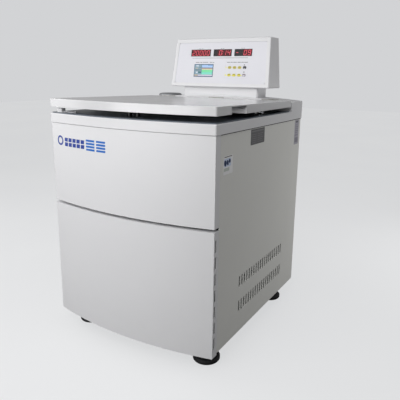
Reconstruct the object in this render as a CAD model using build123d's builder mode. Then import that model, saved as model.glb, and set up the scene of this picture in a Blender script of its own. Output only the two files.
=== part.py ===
from build123d import *
import os
from math import sin, cos, radians, degrees, atan2, hypot

# Floor-standing refrigerated laboratory centrifuge, lid closed.
# Frame: +X to the operator's right, +Y towards the back, +Z up; millimetres.
# Origin: centre of the overall footprint, on the floor.
# Depths are laid out from the middle of the side panels. Every finished piece
# then moves back by y_shift, because the front bulges forward.

os.makedirs("parts", exist_ok=True)

y_shift = 16.3

# cabinet
half_w = 320.0
front_y = -343.5          # front corners
rear_y = 343.5
bow = 38.3                # forward bulge of the front panels at the middle
side_bottom = 68.6
side_top = 750.4
side_front = -314.6
sheet = 2.0

# top cover
rim_half = 322.6
rim_corner_y = -346.0
rim_bow = 36.0
rim_bottom = 751.8
rim_top = 782.0
rim_rear = 349.4
deck_front = 232.5
deck_side_z = 818.0       # raised rear deck, at its sides
deck_crown_z = 832.0      # and along its middle
cable_y = 295.0           # cable way from the deck up into the head

# lid
lid_half = 322.6
lid_rear = 221.5
lid_z0 = 800.0            # underside
channel_rear = -159.8     # back of the finger channel

# emergency release pull: place of its rod
release_y = -333.0
release_z = 786.6

# chamber and drive
axis_y = 35.0             # vertical rotor axis
bowl_r = 168.0
shaft_r = 8.0

# gas struts: pivots as (y, z)
strut_x = 288.0
strut_low = (190.0, 630.0)
strut_top = (30.0, 791.0)

# base levels
beam_z = 72.0
beam_h = 24.0
base_sheet_t = 3.0
base_top = beam_z + beam_h + base_sheet_t
shelf_z = 440.0
shelf_t = 6.0
shelf_top = shelf_z + shelf_t


def save(part, name):
    """Move a piece from the cabinet's datum to the origin, label it and write it."""
    placed = part.moved(Location((0, y_shift, 0)))
    placed.label = name
    export_step(placed, f"parts/{name}.step")


def bowed_outline(half, corner, sag, back):
    """Plan outline: bowed front line, straight sides and back."""
    ThreePointArc((-half, corner), (0, corner - sag), (half, corner))
    Polyline((half, corner), (half, back), (-half, back), (-half, corner))


def deck_arch(half, side_z, crown_z, low_z):
    """Front view of the rear deck: arched top over a straight-sided block."""
    ThreePointArc((-half, side_z), (0, crown_z), (half, side_z))
    Polyline((half, side_z), (half, low_z), (-half, low_z), (-half, side_z))


def turning_plane(x, y):
    """Vertical plane through (x, y) for a profile given as (radius, z)."""
    return Plane(origin=(x, y, 0), x_dir=(1, 0, 0), z_dir=(0, -1, 0))


def turning_axis(x, y):
    return Axis((x, y, 0), (0, 0, 1))


chamber_plane = turning_plane(0, axis_y)
chamber_axis = turning_axis(0, axis_y)


def turned_piece(profile):
    """Revolve a closed (radius, z) profile about the rotor axis."""
    with BuildPart() as piece:
        with BuildSketch(chamber_plane):
            with BuildLine():
                Polyline(*profile, close=True)
            make_face()
        revolve(axis=chamber_axis)
    return piece.part


# ---------------------------------------------------------------------------
# Base, frame and feet
# ---------------------------------------------------------------------------
foot_x = 253.0
foot_front_y = -261.0
foot_rear_y = 265.5
foot_r = 45.0
stem_r = 8.0
# (radius, z)
foot_profile = [
    (0, 0), (foot_r - 2, 0), (foot_r, 3), (foot_r, 11), (foot_r - 4, 15), (24, 17.5),
    (20, 24), (14, 27), (stem_r, 27), (stem_r, 110), (stem_r - 1, 112), (0, 112),
]

post_xy = [(-299, -292), (299, -292), (-299, 318), (299, 318)]
post_size = 30.0
post_bore = 25.0
post_len = 646.0
frame_w = 628.0
frame_depth = 640.0
rail_x = 307.0
rail_w = 12.0
rail_inner_x = rail_x - rail_w / 2


def base_frame():
    with BuildPart() as frame:
        # two lengthwise beams and three cross beams
        with BuildSketch(Plane.XY.offset(beam_z)):
            with Locations((-foot_x, 15), (foot_x, 15)):
                Rectangle(60, 620)
            with Locations((0, -280), (0, 0), (0, 300)):
                Rectangle(2 * foot_x, 50)
        extrude(amount=beam_h)
        # slotted base sheet
        with BuildSketch(Plane.XY.offset(beam_z + beam_h)):
            with Locations((0, 15)):
                Rectangle(frame_w, frame_depth)
            with Locations((0, -200), (0, 215)):
                SlotOverall(180, 40, mode=Mode.SUBTRACT)
        extrude(amount=base_sheet_t)
        # holes for the feet
        with BuildSketch(Plane.XY.offset(beam_z)):
            for y in (foot_front_y, foot_rear_y):
                with Locations((-foot_x, y), (foot_x, y)):
                    Circle(stem_r + 0.05)
        extrude(amount=beam_h + base_sheet_t, mode=Mode.SUBTRACT)
    return frame.part


def frame_posts():
    """Four square tubes, the shelf and the two side rails."""
    with BuildPart() as posts:
        with BuildSketch(Plane.XY.offset(base_top)):
            with Locations(*post_xy):
                Rectangle(post_size, post_size)
        extrude(amount=post_len)
        # shelf that carries the chamber and the drive
        with BuildSketch(Plane.XY.offset(shelf_z)):
            with Locations((0, 13)):
                Rectangle(frame_w, frame_depth)
            with Locations((0, axis_y)):
                Circle(60, mode=Mode.SUBTRACT)
        extrude(amount=shelf_t)
        # side rails with the lower studs of the gas struts
        for side in (-1, 1):
            with BuildSketch(Plane.XY.offset(612)):
                with Locations((side * rail_x, 13)):
                    Rectangle(rail_w, 600)
            extrude(amount=34)
            with BuildSketch(Plane.YZ.offset(side * rail_inner_x)):
                with Locations(strut_low):
                    Circle(4.0)
            extrude(amount=-side * 22)
        with BuildSketch(Plane.XY.offset(base_top)):
            with Locations(*post_xy):
                Rectangle(post_bore, post_bore)
        extrude(amount=post_len, mode=Mode.SUBTRACT)
        # close the shelf again where the tube bores cut through it
        with BuildSketch(Plane.XY.offset(shelf_z)):
            with Locations(*post_xy):
                Rectangle(post_bore + 0.5, post_bore + 0.5)
        extrude(amount=shelf_t)
    return posts.part


def levelling_foot(x, y):
    """Moulded pad with its stem and a hexagon nut."""
    with BuildPart() as foot:
        with BuildSketch(turning_plane(x, y)):
            with BuildLine():
                Polyline(*foot_profile, close=True)
            make_face()
        revolve(axis=turning_axis(x, y))
        with BuildSketch(Plane.XY.offset(50)):
            with Locations((x, y)):
                RegularPolygon(13, 6)
        extrude(amount=12)
    return foot.part


# ---------------------------------------------------------------------------
# Cabinet skins
# ---------------------------------------------------------------------------
louvre_count = 20
louvre_y0 = -166.0
louvre_y1 = 194.0
louvre_rows = [(232.0, 271.5), (143.5, 184.0)]    # (bottom z, top z)

panel_screw_xz = [(x, z) for x in (-306, 306) for z in (110, 300, 470, 640, 730)]
screw_head_h = 2.4

switch_x = -150.0
switch_z = 150.0

front_levels = {                                  # (bottom z, top z)
    "lower_front_panel": (62.0, 471.2),
    "upper_front_panel": (480.5, 750.4),
}
front_skin = 3.0
front_lip_t = 2.5         # lips left along the bottom and top
front_lip_w = 18.0
front_back = side_front - 0.6


def side_panel(side):
    outer = half_w
    inner = half_w - sheet
    rib = half_w - 6      # inner face of the small rib near the front edge
    plan = [
        (outer, side_front), (outer, rear_y - sheet), (inner, rear_y - sheet),
        (inner, side_front + 14), (rib, side_front + 14), (rib, side_front + 12),
        (inner, side_front + 12), (inner, side_front),
    ]
    with BuildPart() as panel:
        with BuildSketch(Plane.XY.offset(side_bottom)):
            with BuildLine():
                Polyline(*[(side * x, y) for x, y in plan], close=True)
            make_face()
        extrude(amount=side_top - side_bottom)
        # two rows of upright slots
        with BuildSketch(Plane.YZ.offset(side * (half_w - 3))):
            for z0, z1 in louvre_rows:
                with Locations(((louvre_y0 + louvre_y1) / 2, (z0 + z1) / 2)):
                    pitch = (louvre_y1 - louvre_y0) / (louvre_count - 1)
                    with GridLocations(pitch, 1, louvre_count, 1):
                        SlotOverall(z1 - z0, 9.0, rotation=90)
        extrude(amount=side * 6, mode=Mode.SUBTRACT)
    return panel.part


def rear_panel():
    with BuildPart() as panel:
        with BuildSketch(Plane.XZ.offset(-(rear_y - sheet))):
            with Locations((0, (side_bottom + side_top) / 2)):
                Rectangle(2 * half_w, side_top - side_bottom)
            with Locations(*panel_screw_xz):
                Circle(2.2, mode=Mode.SUBTRACT)
            # two rows of exhaust slots
            for z in (640, 330):
                with Locations((0, z)):
                    with GridLocations(14, 1, 26, 1):
                        SlotOverall(60, 6, rotation=90, mode=Mode.SUBTRACT)
            # round hole, then the opening for the mains switch
            with Locations((-240, 150)):
                Circle(14, mode=Mode.SUBTRACT)
            with Locations((switch_x, switch_z)):
                Rectangle(24, 46, mode=Mode.SUBTRACT)
        extrude(amount=-sheet)
    return panel.part


def panel_screws():
    """Hexagon-socket screws of the rear panel."""
    with BuildPart() as screws:
        with BuildSketch(Plane.XZ.offset(-rear_y)):
            with Locations(*panel_screw_xz):
                Circle(4.2)
        extrude(amount=-screw_head_h)
        with BuildSketch(Plane.XZ.offset(-rear_y)):
            with Locations(*panel_screw_xz):
                Circle(2.0)
        extrude(amount=6)
        with BuildSketch(Plane.XZ.offset(-(rear_y + screw_head_h))):
            with Locations(*panel_screw_xz):
                RegularPolygon(2.0, 6)
        extrude(amount=1.4, mode=Mode.SUBTRACT)
    return screws.part


def front_panel(z0, z1, slotted):
    with BuildPart() as panel:
        with BuildSketch(Plane.XY.offset(z0)):
            with BuildLine():
                bowed_outline(half_w, front_y, bow, front_back)
            make_face()
        extrude(amount=z1 - z0)
        # hollow behind the skin, between the bottom and top lips
        with BuildSketch(Plane.XY.offset(z0 + front_lip_t)):
            with BuildLine():
                bowed_outline(half_w - front_skin, front_y + front_skin, bow, front_back + 5)
            make_face()
        extrude(amount=z1 - z0 - 2 * front_lip_t, mode=Mode.SUBTRACT)
        # trim the lips to their width
        with BuildSketch(Plane.XY.offset(z0 - 1)):
            with BuildLine():
                bowed_outline(half_w - front_lip_w, front_y + front_lip_w, bow - 2,
                              front_back + 5)
            make_face()
        extrude(amount=z1 - z0 + 2, mode=Mode.SUBTRACT)
        if slotted:
            # cooling-air slots in the folded sides
            with BuildSketch(Plane.YZ.offset(-half_w - 5)):
                with Locations(*[(-332.4, 109.8 + 52.7 * i) for i in range(7)]):
                    SlotOverall(41, 8.5, rotation=90)
            extrude(amount=2 * half_w + 10, mode=Mode.SUBTRACT)
    return panel.part


# ---------------------------------------------------------------------------
# Top cover, inner plate and chamber seal
# ---------------------------------------------------------------------------
cover_wall = 3.0
cove_r = 9.0              # concave fillet at the foot of the deck
plate_inset = 5.0         # border of the rim left around the inner plate
plate_t = 3.0
plate_top = rim_top + plate_t

# opening in the cover under the inner plate
cut_half = 302.0
cut_corner_y = -296.0
cut_bow = 30.0
cut_rear = 214.0

# slots in the plate for the gas struts
slot_y0 = 12.0
slot_y1 = 196.0
slot_w = 24.0
strut_slot_places = [(side * strut_x, (slot_y0 + slot_y1) / 2) for side in (-1, 1)]

striker_y = -298.0

# (radius, z)
seal_profile = [
    (bowl_r + 5, plate_top), (bowl_r + 21, plate_top), (bowl_r + 21, 789),
    (bowl_r + 17, 791), (bowl_r + 17, 796), (bowl_r + 14, lid_z0 - 0.2),
    (bowl_r + 9, lid_z0 - 0.2), (bowl_r + 5, 795),
]


def top_cover():
    """Rim, top plate and raised rear deck in one moulding."""
    with BuildPart() as cover:
        with BuildSketch(Plane.XY.offset(rim_bottom)):
            with BuildLine():
                bowed_outline(rim_half, rim_corner_y, rim_bow, rim_rear)
            make_face()
        extrude(amount=rim_top - rim_bottom)
        fillet(cover.edges().filter_by(Axis.Z), 5.0)
        fillet(cover.faces().sort_by(Axis.Z)[-1].edges(), 2.5)
        # raised deck with its corners and arched edges rounded
        with BuildSketch(Plane.XZ.offset(-deck_front)):
            with BuildLine():
                deck_arch(rim_half, deck_side_z, deck_crown_z, rim_top - 6)
            make_face()
        extrude(amount=-(rim_rear - deck_front))
        upright_edges = cover.edges().filter_by(Axis.Z)
        fillet(upright_edges.filter_by(lambda e: e.center().Z > rim_top + 2), 4.0)
        fillet(cover.edges().filter_by(
            lambda e: e.center().Z > deck_side_z + 3
            and e.geom_type == GeomType.CIRCLE and e.length > 400), 3.0)
        # concave fillet where the deck rises from the rim
        with BuildSketch(Plane.YZ.offset(-rim_half + 4)):
            with BuildLine():
                behind = deck_front + 1
                tip = deck_front - cove_r
                Line((behind, rim_top - 1), (behind, rim_top + cove_r))
                Line((behind, rim_top + cove_r), (deck_front, rim_top + cove_r))
                RadiusArc((deck_front, rim_top + cove_r), (tip, rim_top), cove_r)
                Line((tip, rim_top), (tip, rim_top - 1))
                Line((tip, rim_top - 1), (behind, rim_top - 1))
            make_face()
        extrude(amount=2 * rim_half - 8)
        # hollow the rim, then the deck
        with BuildSketch(Plane.XY.offset(rim_bottom - 1)):
            with BuildLine():
                bowed_outline(rim_half - cover_wall, rim_corner_y + cover_wall, rim_bow,
                              rim_rear - cover_wall)
            make_face()
        extrude(amount=rim_top - cover_wall - rim_bottom + 1, mode=Mode.SUBTRACT)
        with BuildSketch(Plane.XZ.offset(-(deck_front + cover_wall))):
            with BuildLine():
                deck_arch(rim_half - cover_wall, deck_side_z - cover_wall,
                          deck_crown_z - cover_wall, rim_top - 10)
            make_face()
        extrude(amount=-(rim_rear - deck_front - 2 * cover_wall), mode=Mode.SUBTRACT)
        # opening for the inner plate
        with BuildSketch(Plane.XY.offset(rim_top - 10)):
            with BuildLine():
                bowed_outline(cut_half, cut_corner_y, cut_bow, cut_rear)
            make_face()
        extrude(amount=30, mode=Mode.SUBTRACT)
        # guide block of the emergency release pull, bored for its rod
        with BuildSketch(Plane.XY.offset(rim_top - 1)):
            with Locations((-283, release_y)):
                RectangleRounded(23, 19, 4)
        extrude(amount=17)
        with BuildSketch(Plane.YZ.offset(-300)):
            with Locations((release_y, release_z)):
                Circle(release_rod_r + 0.05)
        extrude(amount=40, mode=Mode.SUBTRACT)
        # cable way under the neck
        with BuildSketch(Plane.XY.offset(810)):
            with Locations((0, cable_y)):
                SlotOverall(90, 30)
        extrude(amount=40, mode=Mode.SUBTRACT)
    return cover.part


def inner_top_plate():
    with BuildPart() as plate:
        with BuildSketch(Plane.XY.offset(rim_top)):
            with BuildLine():
                bowed_outline(rim_half - plate_inset, rim_corner_y + plate_inset, rim_bow,
                              cut_rear + 6)
            make_face()
            # clearance slot for the emergency release's guide, rod and ring
            with Locations((-240, release_y)):
                RectangleRounded(112, 20, 4.5, mode=Mode.SUBTRACT)
            with Locations((0, axis_y)):
                Circle(bowl_r + 2, mode=Mode.SUBTRACT)
            with Locations(*strut_slot_places):
                Rectangle(slot_w, slot_y1 - slot_y0, mode=Mode.SUBTRACT)
            # opening for the lid striker
            with Locations((0, striker_y)):
                RectangleRounded(50, 40, 6, mode=Mode.SUBTRACT)
        extrude(amount=plate_t)
        # locating skirt that drops into the cover's opening
        with BuildSketch(Plane.XY.offset(rim_top)):
            with BuildLine():
                bowed_outline(cut_half - 0.5, cut_corner_y + 0.5, cut_bow, cut_rear - 0.5)
            make_face()
            with BuildLine():
                bowed_outline(cut_half - 3.5, cut_corner_y + 3.5, cut_bow, cut_rear - 3.5)
            make_face(mode=Mode.SUBTRACT)
            with Locations(*strut_slot_places):
                Rectangle(slot_w, slot_y1 - slot_y0, mode=Mode.SUBTRACT)
        extrude(amount=-8)
    return plate.part


def chamber_seal():
    return turned_piece(seal_profile)


# ---------------------------------------------------------------------------
# Lid
# ---------------------------------------------------------------------------
lid_corner_y = -345.0
lid_bow = 35.0
lid_front_z = 830.5       # top at the front edge, sloping down to the back
lid_rear_z = 823.5
lip_z0 = 804.0            # underside of the front lip
channel_front = -258.9
channel_top = 825.0
pocket_y = (channel_rear + lid_rear) / 2
pocket_border = 5.0
liner_border = 5.2

lid_cut_x = -lid_half - 5           # cuts run the full width and a little over
lid_cut_w = 2 * lid_half + 10
cut_low_z = lid_z0 - 5


def lid_shell():
    with BuildPart() as shell:
        with BuildSketch(Plane.XY.offset(lid_z0)):
            with BuildLine():
                bowed_outline(lid_half, lid_corner_y, lid_bow, lid_rear)
            make_face()
        extrude(amount=40)
        fillet(shell.edges().filter_by(Axis.Z), 6.0)
        # the top slopes gently down to the back
        with BuildSketch(Plane.YZ.offset(lid_cut_x)):
            with BuildLine():
                Polyline((-400, lid_front_z + 0.2), (lid_rear + 10, lid_rear_z - 0.1),
                         (lid_rear + 10, 850), (-400, 850), close=True)
            make_face()
        extrude(amount=lid_cut_w, mode=Mode.SUBTRACT)
        fillet(shell.faces().sort_by(Axis.Z)[-1].edges(), 1.6)
        fillet(shell.faces().sort_by(Axis.Z)[0].edges(), 2.0)
        # the front lip hangs a little less than the body
        with BuildSketch(Plane.YZ.offset(lid_cut_x)):
            with BuildLine():
                Polyline((-400, cut_low_z), (-400, lip_z0), (channel_front + 1, lip_z0),
                         (channel_front + 1, cut_low_z), close=True)
            make_face()
        extrude(amount=lid_cut_w, mode=Mode.SUBTRACT)
        # full-width finger channel behind the front lip
        with BuildSketch(Plane.YZ.offset(lid_cut_x)):
            with BuildLine():
                Polyline((channel_front, cut_low_z), (channel_front, channel_top),
                         (channel_rear, channel_top), (channel_rear, cut_low_z), close=True)
            make_face()
        extrude(amount=lid_cut_w, mode=Mode.SUBTRACT)
        # pocket for the liner
        with BuildSketch(Plane.XY.offset(lid_z0 - 1)):
            with Locations((0, pocket_y)):
                RectangleRounded(2 * (lid_half - pocket_border),
                                 lid_rear - channel_rear - 2 * pocket_border, 6)
        extrude(amount=20, mode=Mode.SUBTRACT)
    return shell.part


def lid_liner():
    with BuildPart() as liner:
        with BuildSketch(Plane.XY.offset(lid_z0)):
            with Locations((0, pocket_y)):
                RectangleRounded(2 * (lid_half - liner_border),
                                 lid_rear - channel_rear - 2 * liner_border, 6)
        extrude(amount=18.8)
        # shallow round dish over the chamber
        with BuildSketch(Plane.XY.offset(lid_z0)):
            with Locations((0, axis_y)):
                Circle(150)
        extrude(amount=5, taper=30, mode=Mode.SUBTRACT)
    return liner.part


# ---------------------------------------------------------------------------
# Hinge: three knuckle sets on one line
# ---------------------------------------------------------------------------
hinge_y = 226.5
hinge_z = 822.0
hinge_x = (-235.0, 0.0, 235.0)
knuckle_r = 4.5
pin_r = 2.5
pin_len = 70.0
leaf_w = 90.0
leaf_t = 2.0
lid_knuckle_half = 13.0


def hinge_leaves_lid():
    with BuildPart() as leaves:
        for x in hinge_x:
            with BuildSketch(Plane.XZ.offset(-lid_rear)):
                with Locations((x, 812)):
                    Rectangle(leaf_w, 14)
            extrude(amount=-leaf_t)
            # middle knuckle and the web that joins it to the leaf
            with BuildSketch(Plane.YZ.offset(x - lid_knuckle_half)):
                with Locations((hinge_y, hinge_z)):
                    Circle(knuckle_r - 0.3)
                with Locations((hinge_y - 3.4, hinge_z - 4)):
                    Rectangle(3.2, 8)
            extrude(amount=2 * lid_knuckle_half)
            with BuildSketch(Plane.YZ.offset(x - lid_knuckle_half - 1)):
                with Locations((hinge_y, hinge_z)):
                    Circle(pin_r + 0.05)
            extrude(amount=2 * lid_knuckle_half + 2, mode=Mode.SUBTRACT)
    return leaves.part


def hinge_leaves_cabinet():
    with BuildPart() as leaves:
        for x in hinge_x:
            with BuildSketch(Plane.XZ.offset(-(deck_front - leaf_t))):
                with Locations((x, 805)):
                    Rectangle(leaf_w, 24)
            extrude(amount=-leaf_t)
            # outer knuckles, one each side of the lid's
            for side in (-1, 1):
                with BuildSketch(Plane.YZ.offset(x + side * (lid_knuckle_half + 0.6))):
                    with Locations((hinge_y, hinge_z)):
                        Circle(knuckle_r - 0.5)
                    with Locations((hinge_y + 3.4, hinge_z - 5)):
                        Rectangle(3.6, 10)
                extrude(amount=side * 20)
            with BuildSketch(Plane.YZ.offset(x - 40)):
                with Locations((hinge_y, hinge_z)):
                    Circle(pin_r)
            extrude(amount=80, mode=Mode.SUBTRACT)
    return leaves.part


def hinge_pins():
    with BuildPart() as pins:
        for x in hinge_x:
            with BuildSketch(Plane.YZ.offset(x - pin_len / 2)):
                with Locations((hinge_y, hinge_z)):
                    Circle(pin_r)
            extrude(amount=pin_len)
    return pins.part


# ---------------------------------------------------------------------------
# Gas struts
# ---------------------------------------------------------------------------
strut_dy = strut_top[0] - strut_low[0]
strut_dz = strut_top[1] - strut_low[1]
strut_len = hypot(strut_dy, strut_dz)
strut_dir = (strut_dy / strut_len, strut_dz / strut_len)
cylinder_end = 176.0      # distances along the strut, from the lower pivot
cylinder_start = 12.0
rod_start = 20.0
rod_r = 4.0
eye_t = 9.0


def strut_plane(x, distance):
    """Plane across the strut at a distance from its lower pivot."""
    return Plane(origin=(x, strut_low[0] + strut_dir[0] * distance,
                         strut_low[1] + strut_dir[1] * distance),
                 x_dir=(1, 0, 0), z_dir=(0, strut_dir[0], strut_dir[1]))


def strut_cylinder(x):
    with BuildPart() as cylinder:
        with BuildSketch(strut_plane(x, cylinder_start)):
            Circle(10)
        extrude(amount=cylinder_end - cylinder_start)
        # neck and eye at the lower pivot
        with BuildSketch(strut_plane(x, 7)):
            Rectangle(eye_t, 14)
        extrude(amount=6)
        with BuildSketch(Plane.YZ.offset(x - eye_t / 2)):
            with Locations(strut_low):
                Circle(9.5)
        extrude(amount=eye_t)
        with BuildSketch(Plane.YZ.offset(x - 5)):
            with Locations(strut_low):
                Circle(4.05)
        extrude(amount=10, mode=Mode.SUBTRACT)
        # bore for the rod, open at the top
        with BuildSketch(strut_plane(x, 16)):
            Circle(rod_r + 0.06)
        extrude(amount=cylinder_end, mode=Mode.SUBTRACT)
    return cylinder.part


def strut_rod(x):
    with BuildPart() as rod:
        with BuildSketch(strut_plane(x, rod_start)):
            Circle(rod_r)
        extrude(amount=strut_len - rod_start - 6)
        with BuildSketch(Plane.YZ.offset(x - eye_t / 2)):
            with Locations(strut_top):
                Circle(7.5)
        extrude(amount=eye_t)
    return rod.part


def strut_lid_studs():
    """Plates hanging from the lid, with a stud towards each strut."""
    plate_x = 272.0
    stud_plate_t = 8.0
    with BuildPart() as studs:
        for side in (-1, 1):
            with BuildSketch(Plane.XY.offset(lid_z0)):
                with Locations((side * plate_x, strut_top[0])):
                    Rectangle(stud_plate_t, 26)
            extrude(amount=-14)
            with BuildSketch(Plane.YZ.offset(side * (plate_x + stud_plate_t / 2))):
                with Locations(strut_top):
                    Circle(4.5)
            extrude(amount=side * 6.5)
    return studs.part


# ---------------------------------------------------------------------------
# Lid lock and emergency release
# ---------------------------------------------------------------------------
lock_y = -284.0
lock_z0 = 690.0
hook_y = -280.0           # hook pivot
hook_z = 712.0
hook_pin_r = 4.0
hook_open = 25.0          # degrees turned about the pivot
# (y, z) from the pivot, before turning
hook_profile = [
    (-9, -8), (-9, 30), (-6, 40), (-6, 55), (-24, 55),
    (-26, 58), (-20, 63), (2, 63), (8, 50), (9, -8),
]
striker_arm_x = 16.0
release_rod_r = 2.0
release_ring_x = -220.0


def lid_lock_housing():
    """Box open at the top, crossed by the hook's pin."""
    with BuildPart() as housing:
        with BuildSketch(Plane.XY.offset(lock_z0)):
            with Locations((0, lock_y)):
                Rectangle(90, 100)
        extrude(amount=83)
        with BuildSketch(Plane.XY.offset(lock_z0 + 7)):
            with Locations((0, lock_y)):
                Rectangle(54, 88)
        extrude(amount=90, mode=Mode.SUBTRACT)
        with BuildSketch(Plane.YZ.offset(-32)):
            with Locations((hook_y, hook_z)):
                Circle(hook_pin_r)
        extrude(amount=64)
    return housing.part


def lid_lock_hook():
    with BuildPart() as hook:
        with BuildSketch(Plane.YZ.offset(-5)):
            with BuildLine():
                Polyline(*[(hook_y + y, hook_z + z) for y, z in hook_profile], close=True)
            make_face()
            with Locations((hook_y, hook_z)):
                Circle(hook_pin_r + 0.05, mode=Mode.SUBTRACT)
        extrude(amount=10)
    return hook.part.rotate(Axis((0, hook_y, hook_z), (-1, 0, 0)), hook_open)


def lid_striker():
    """Plate under the lid with two arms joined by a cross pin."""
    with BuildPart() as striker:
        with BuildSketch(Plane.XY.offset(lid_z0)):
            with Locations((0, striker_y)):
                RectangleRounded(44, 30, 4)
        extrude(amount=-3)
        with BuildSketch(Plane.XY.offset(lid_z0 - 2)):
            with Locations((-striker_arm_x, striker_y), (striker_arm_x, striker_y)):
                Rectangle(6, 12)
        extrude(amount=-42)
        with BuildSketch(Plane.YZ.offset(-striker_arm_x)):
            with Locations((striker_y, 762)):
                Circle(4)
        extrude(amount=2 * striker_arm_x)
    return striker.part


def release_pull():
    """Rod along X with a small ring at its right end."""
    ring_center = (release_ring_x, release_y, release_z)
    with BuildPart() as pull:
        with BuildSketch(Plane.YZ.offset(-292)):
            with Locations((release_y, release_z)):
                Circle(release_rod_r)
        extrude(amount=67)
        with BuildSketch(Plane(origin=ring_center, x_dir=(1, 0, 0), z_dir=(0, 0, 1))):
            with Locations((3.2, 0)):
                Circle(1.1)
        revolve(axis=Axis(ring_center, (0, 1, 0)))
    return pull.part


# ---------------------------------------------------------------------------
# Chamber
# ---------------------------------------------------------------------------
bowl_bottom = 470.0
bowl_wall = 2.0
# (radius, z) profiles
bowl_profile = [
    (40, bowl_bottom), (bowl_r - 20, bowl_bottom), (bowl_r + bowl_wall, bowl_bottom + 22),
    (bowl_r + bowl_wall, 779), (bowl_r + 6, 779), (bowl_r + 6, rim_top - 0.1),
    (bowl_r, rim_top - 0.1), (bowl_r, bowl_bottom + 23),
    (bowl_r - 21, bowl_bottom + bowl_wall), (60, bowl_bottom + bowl_wall),
    (50, bowl_bottom + 20), (40, bowl_bottom + 20),
]
insulation_profile = [
    (44, shelf_top), (bowl_r + 37, shelf_top), (bowl_r + 37, 770), (bowl_r + 13, 770),
    (bowl_r + 13, 494), (bowl_r + 3, 489), (bowl_r - 18, bowl_bottom - 0.5),
    (44, bowl_bottom - 0.5),
]
guard_profile = [
    (bowl_r + 38, shelf_top), (bowl_r + 50, shelf_top), (bowl_r + 50, 745), (bowl_r + 38, 745),
]


def chamber_bowl():
    return turned_piece(bowl_profile)


def chamber_insulation():
    return turned_piece(insulation_profile)


def guard_ring():
    return turned_piece(guard_profile)


def evaporator_coil():
    """Nine turns of tube around the bowl."""
    coil_pitch = 24
    with BuildPart() as coil:
        with BuildLine() as path:
            Helix(pitch=coil_pitch, height=9 * coil_pitch, radius=bowl_r + 7.5,
                  center=(0, axis_y, 510))
        with BuildSketch(Plane(origin=path.line @ 0, z_dir=path.line % 0)):
            Circle(4.5)
        sweep(is_frenet=True)
    return coil.part


# ---------------------------------------------------------------------------
# Drive and rotor
# ---------------------------------------------------------------------------
motor_z0 = 180.0
motor_z1 = 404.0
bearing_r = 20.0
bearing_h = 14.0
upper_bearing_z = motor_z1 - bearing_h
rotor_z0 = 545.0
rotor_rim_z = 668.0
rotor_lid_top = 692.0
well_count = 6
well_tilt = radians(25)
well_ring_r = 68.0
knob_stem_r = 12.0

# (radius, z) profiles
motor_profile = [
    (bearing_r, motor_z0), (85, motor_z0), (85, 396), (118, 396), (118, motor_z1),
    (bearing_r, motor_z1), (bearing_r, upper_bearing_z), (79, upper_bearing_z),
    (79, motor_z0 + bearing_h), (bearing_r, motor_z0 + bearing_h),
]
spindle_profile = [
    (0, 174), (shaft_r, 174), (shaft_r, 228), (42, 228), (42, 352), (shaft_r, 352),
    (shaft_r, 536), (14, 540), (14, rotor_z0), (shaft_r, rotor_z0), (shaft_r, 640),
    (6, 643), (0, 643),
]
rotor_profile = [
    (shaft_r, rotor_z0), (132, rotor_z0), (138, 551), (138, 572), (96, rotor_rim_z),
    (84, rotor_rim_z), (80, 656), (34, 644), (30, 650), (shaft_r, 650),
]
rotor_lid_profile = [
    (knob_stem_r, 676), (30, 676), (84, rotor_rim_z), (98, rotor_rim_z), (98, 673),
    (40, rotor_lid_top), (knob_stem_r, rotor_lid_top),
]
knob_profile = [
    (0, 656), (knob_stem_r - 0.05, 656), (knob_stem_r - 0.05, rotor_lid_top + 0.1),
    (26, rotor_lid_top + 0.1), (27, 696), (27, 716), (24, 722), (0, 724),
]


def motor_housing():
    with BuildPart() as housing:
        with BuildSketch(chamber_plane):
            with BuildLine():
                Polyline(*motor_profile, close=True)
            make_face()
        revolve(axis=chamber_axis)
        # upright fins around the outside
        with BuildSketch(Plane.XY.offset(210)):
            with Locations((0, axis_y)):
                with PolarLocations(88.5, 24):
                    Rectangle(9, 2.4)
        extrude(amount=170)
    return housing.part


def spindle_bearings():
    with BuildPart() as bearings:
        for z in (motor_z0, upper_bearing_z):
            with BuildSketch(Plane.XY.offset(z)):
                with Locations((0, axis_y)):
                    Circle(bearing_r)
                    Circle(shaft_r + 0.05, mode=Mode.SUBTRACT)
            extrude(amount=bearing_h)
    return bearings.part


def spindle():
    return turned_piece(spindle_profile)


def motor_mounts():
    """Six round blocks between the motor flange and the shelf."""
    with BuildPart() as mounts:
        with BuildSketch(Plane.XY.offset(motor_z1)):
            with Locations((0, axis_y)):
                with PolarLocations(100, 6, start_angle=30):
                    Circle(13)
        extrude(amount=shelf_z - motor_z1)
    return mounts.part


def rotor():
    """Fixed-angle rotor with tilted tube wells."""
    with BuildPart() as body:
        with BuildSketch(chamber_plane):
            with BuildLine():
                Polyline(*rotor_profile, close=True)
            make_face()
        revolve(axis=chamber_axis)
        for i in range(well_count):
            angle = radians(360 / well_count * i)
            mouth = (well_ring_r * cos(angle), axis_y + well_ring_r * sin(angle), rotor_rim_z)
            down = (sin(well_tilt) * cos(angle), sin(well_tilt) * sin(angle), -cos(well_tilt))
            # start the cut 12 above the mouth
            start = tuple(mouth[k] - 12 * down[k] for k in range(3))
            with BuildSketch(Plane(origin=start, z_dir=down)):
                Circle(19.0)
            extrude(amount=118, mode=Mode.SUBTRACT)
    return body.part


def rotor_lid():
    return turned_piece(rotor_lid_profile)


def rotor_knob():
    with BuildPart() as knob:
        with BuildSketch(chamber_plane):
            with BuildLine():
                Polyline(*knob_profile, close=True)
            make_face()
        revolve(axis=chamber_axis)
        # grip flutes
        with BuildSketch(Plane.XY.offset(690)):
            with Locations((0, axis_y)):
                with PolarLocations(30, 10):
                    Circle(5.5)
        extrude(amount=40, mode=Mode.SUBTRACT)
    return knob.part


# ---------------------------------------------------------------------------
# Refrigeration and electronics in the base
# ---------------------------------------------------------------------------
compressor_x = -190.0
compressor_y = 180.0
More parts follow.
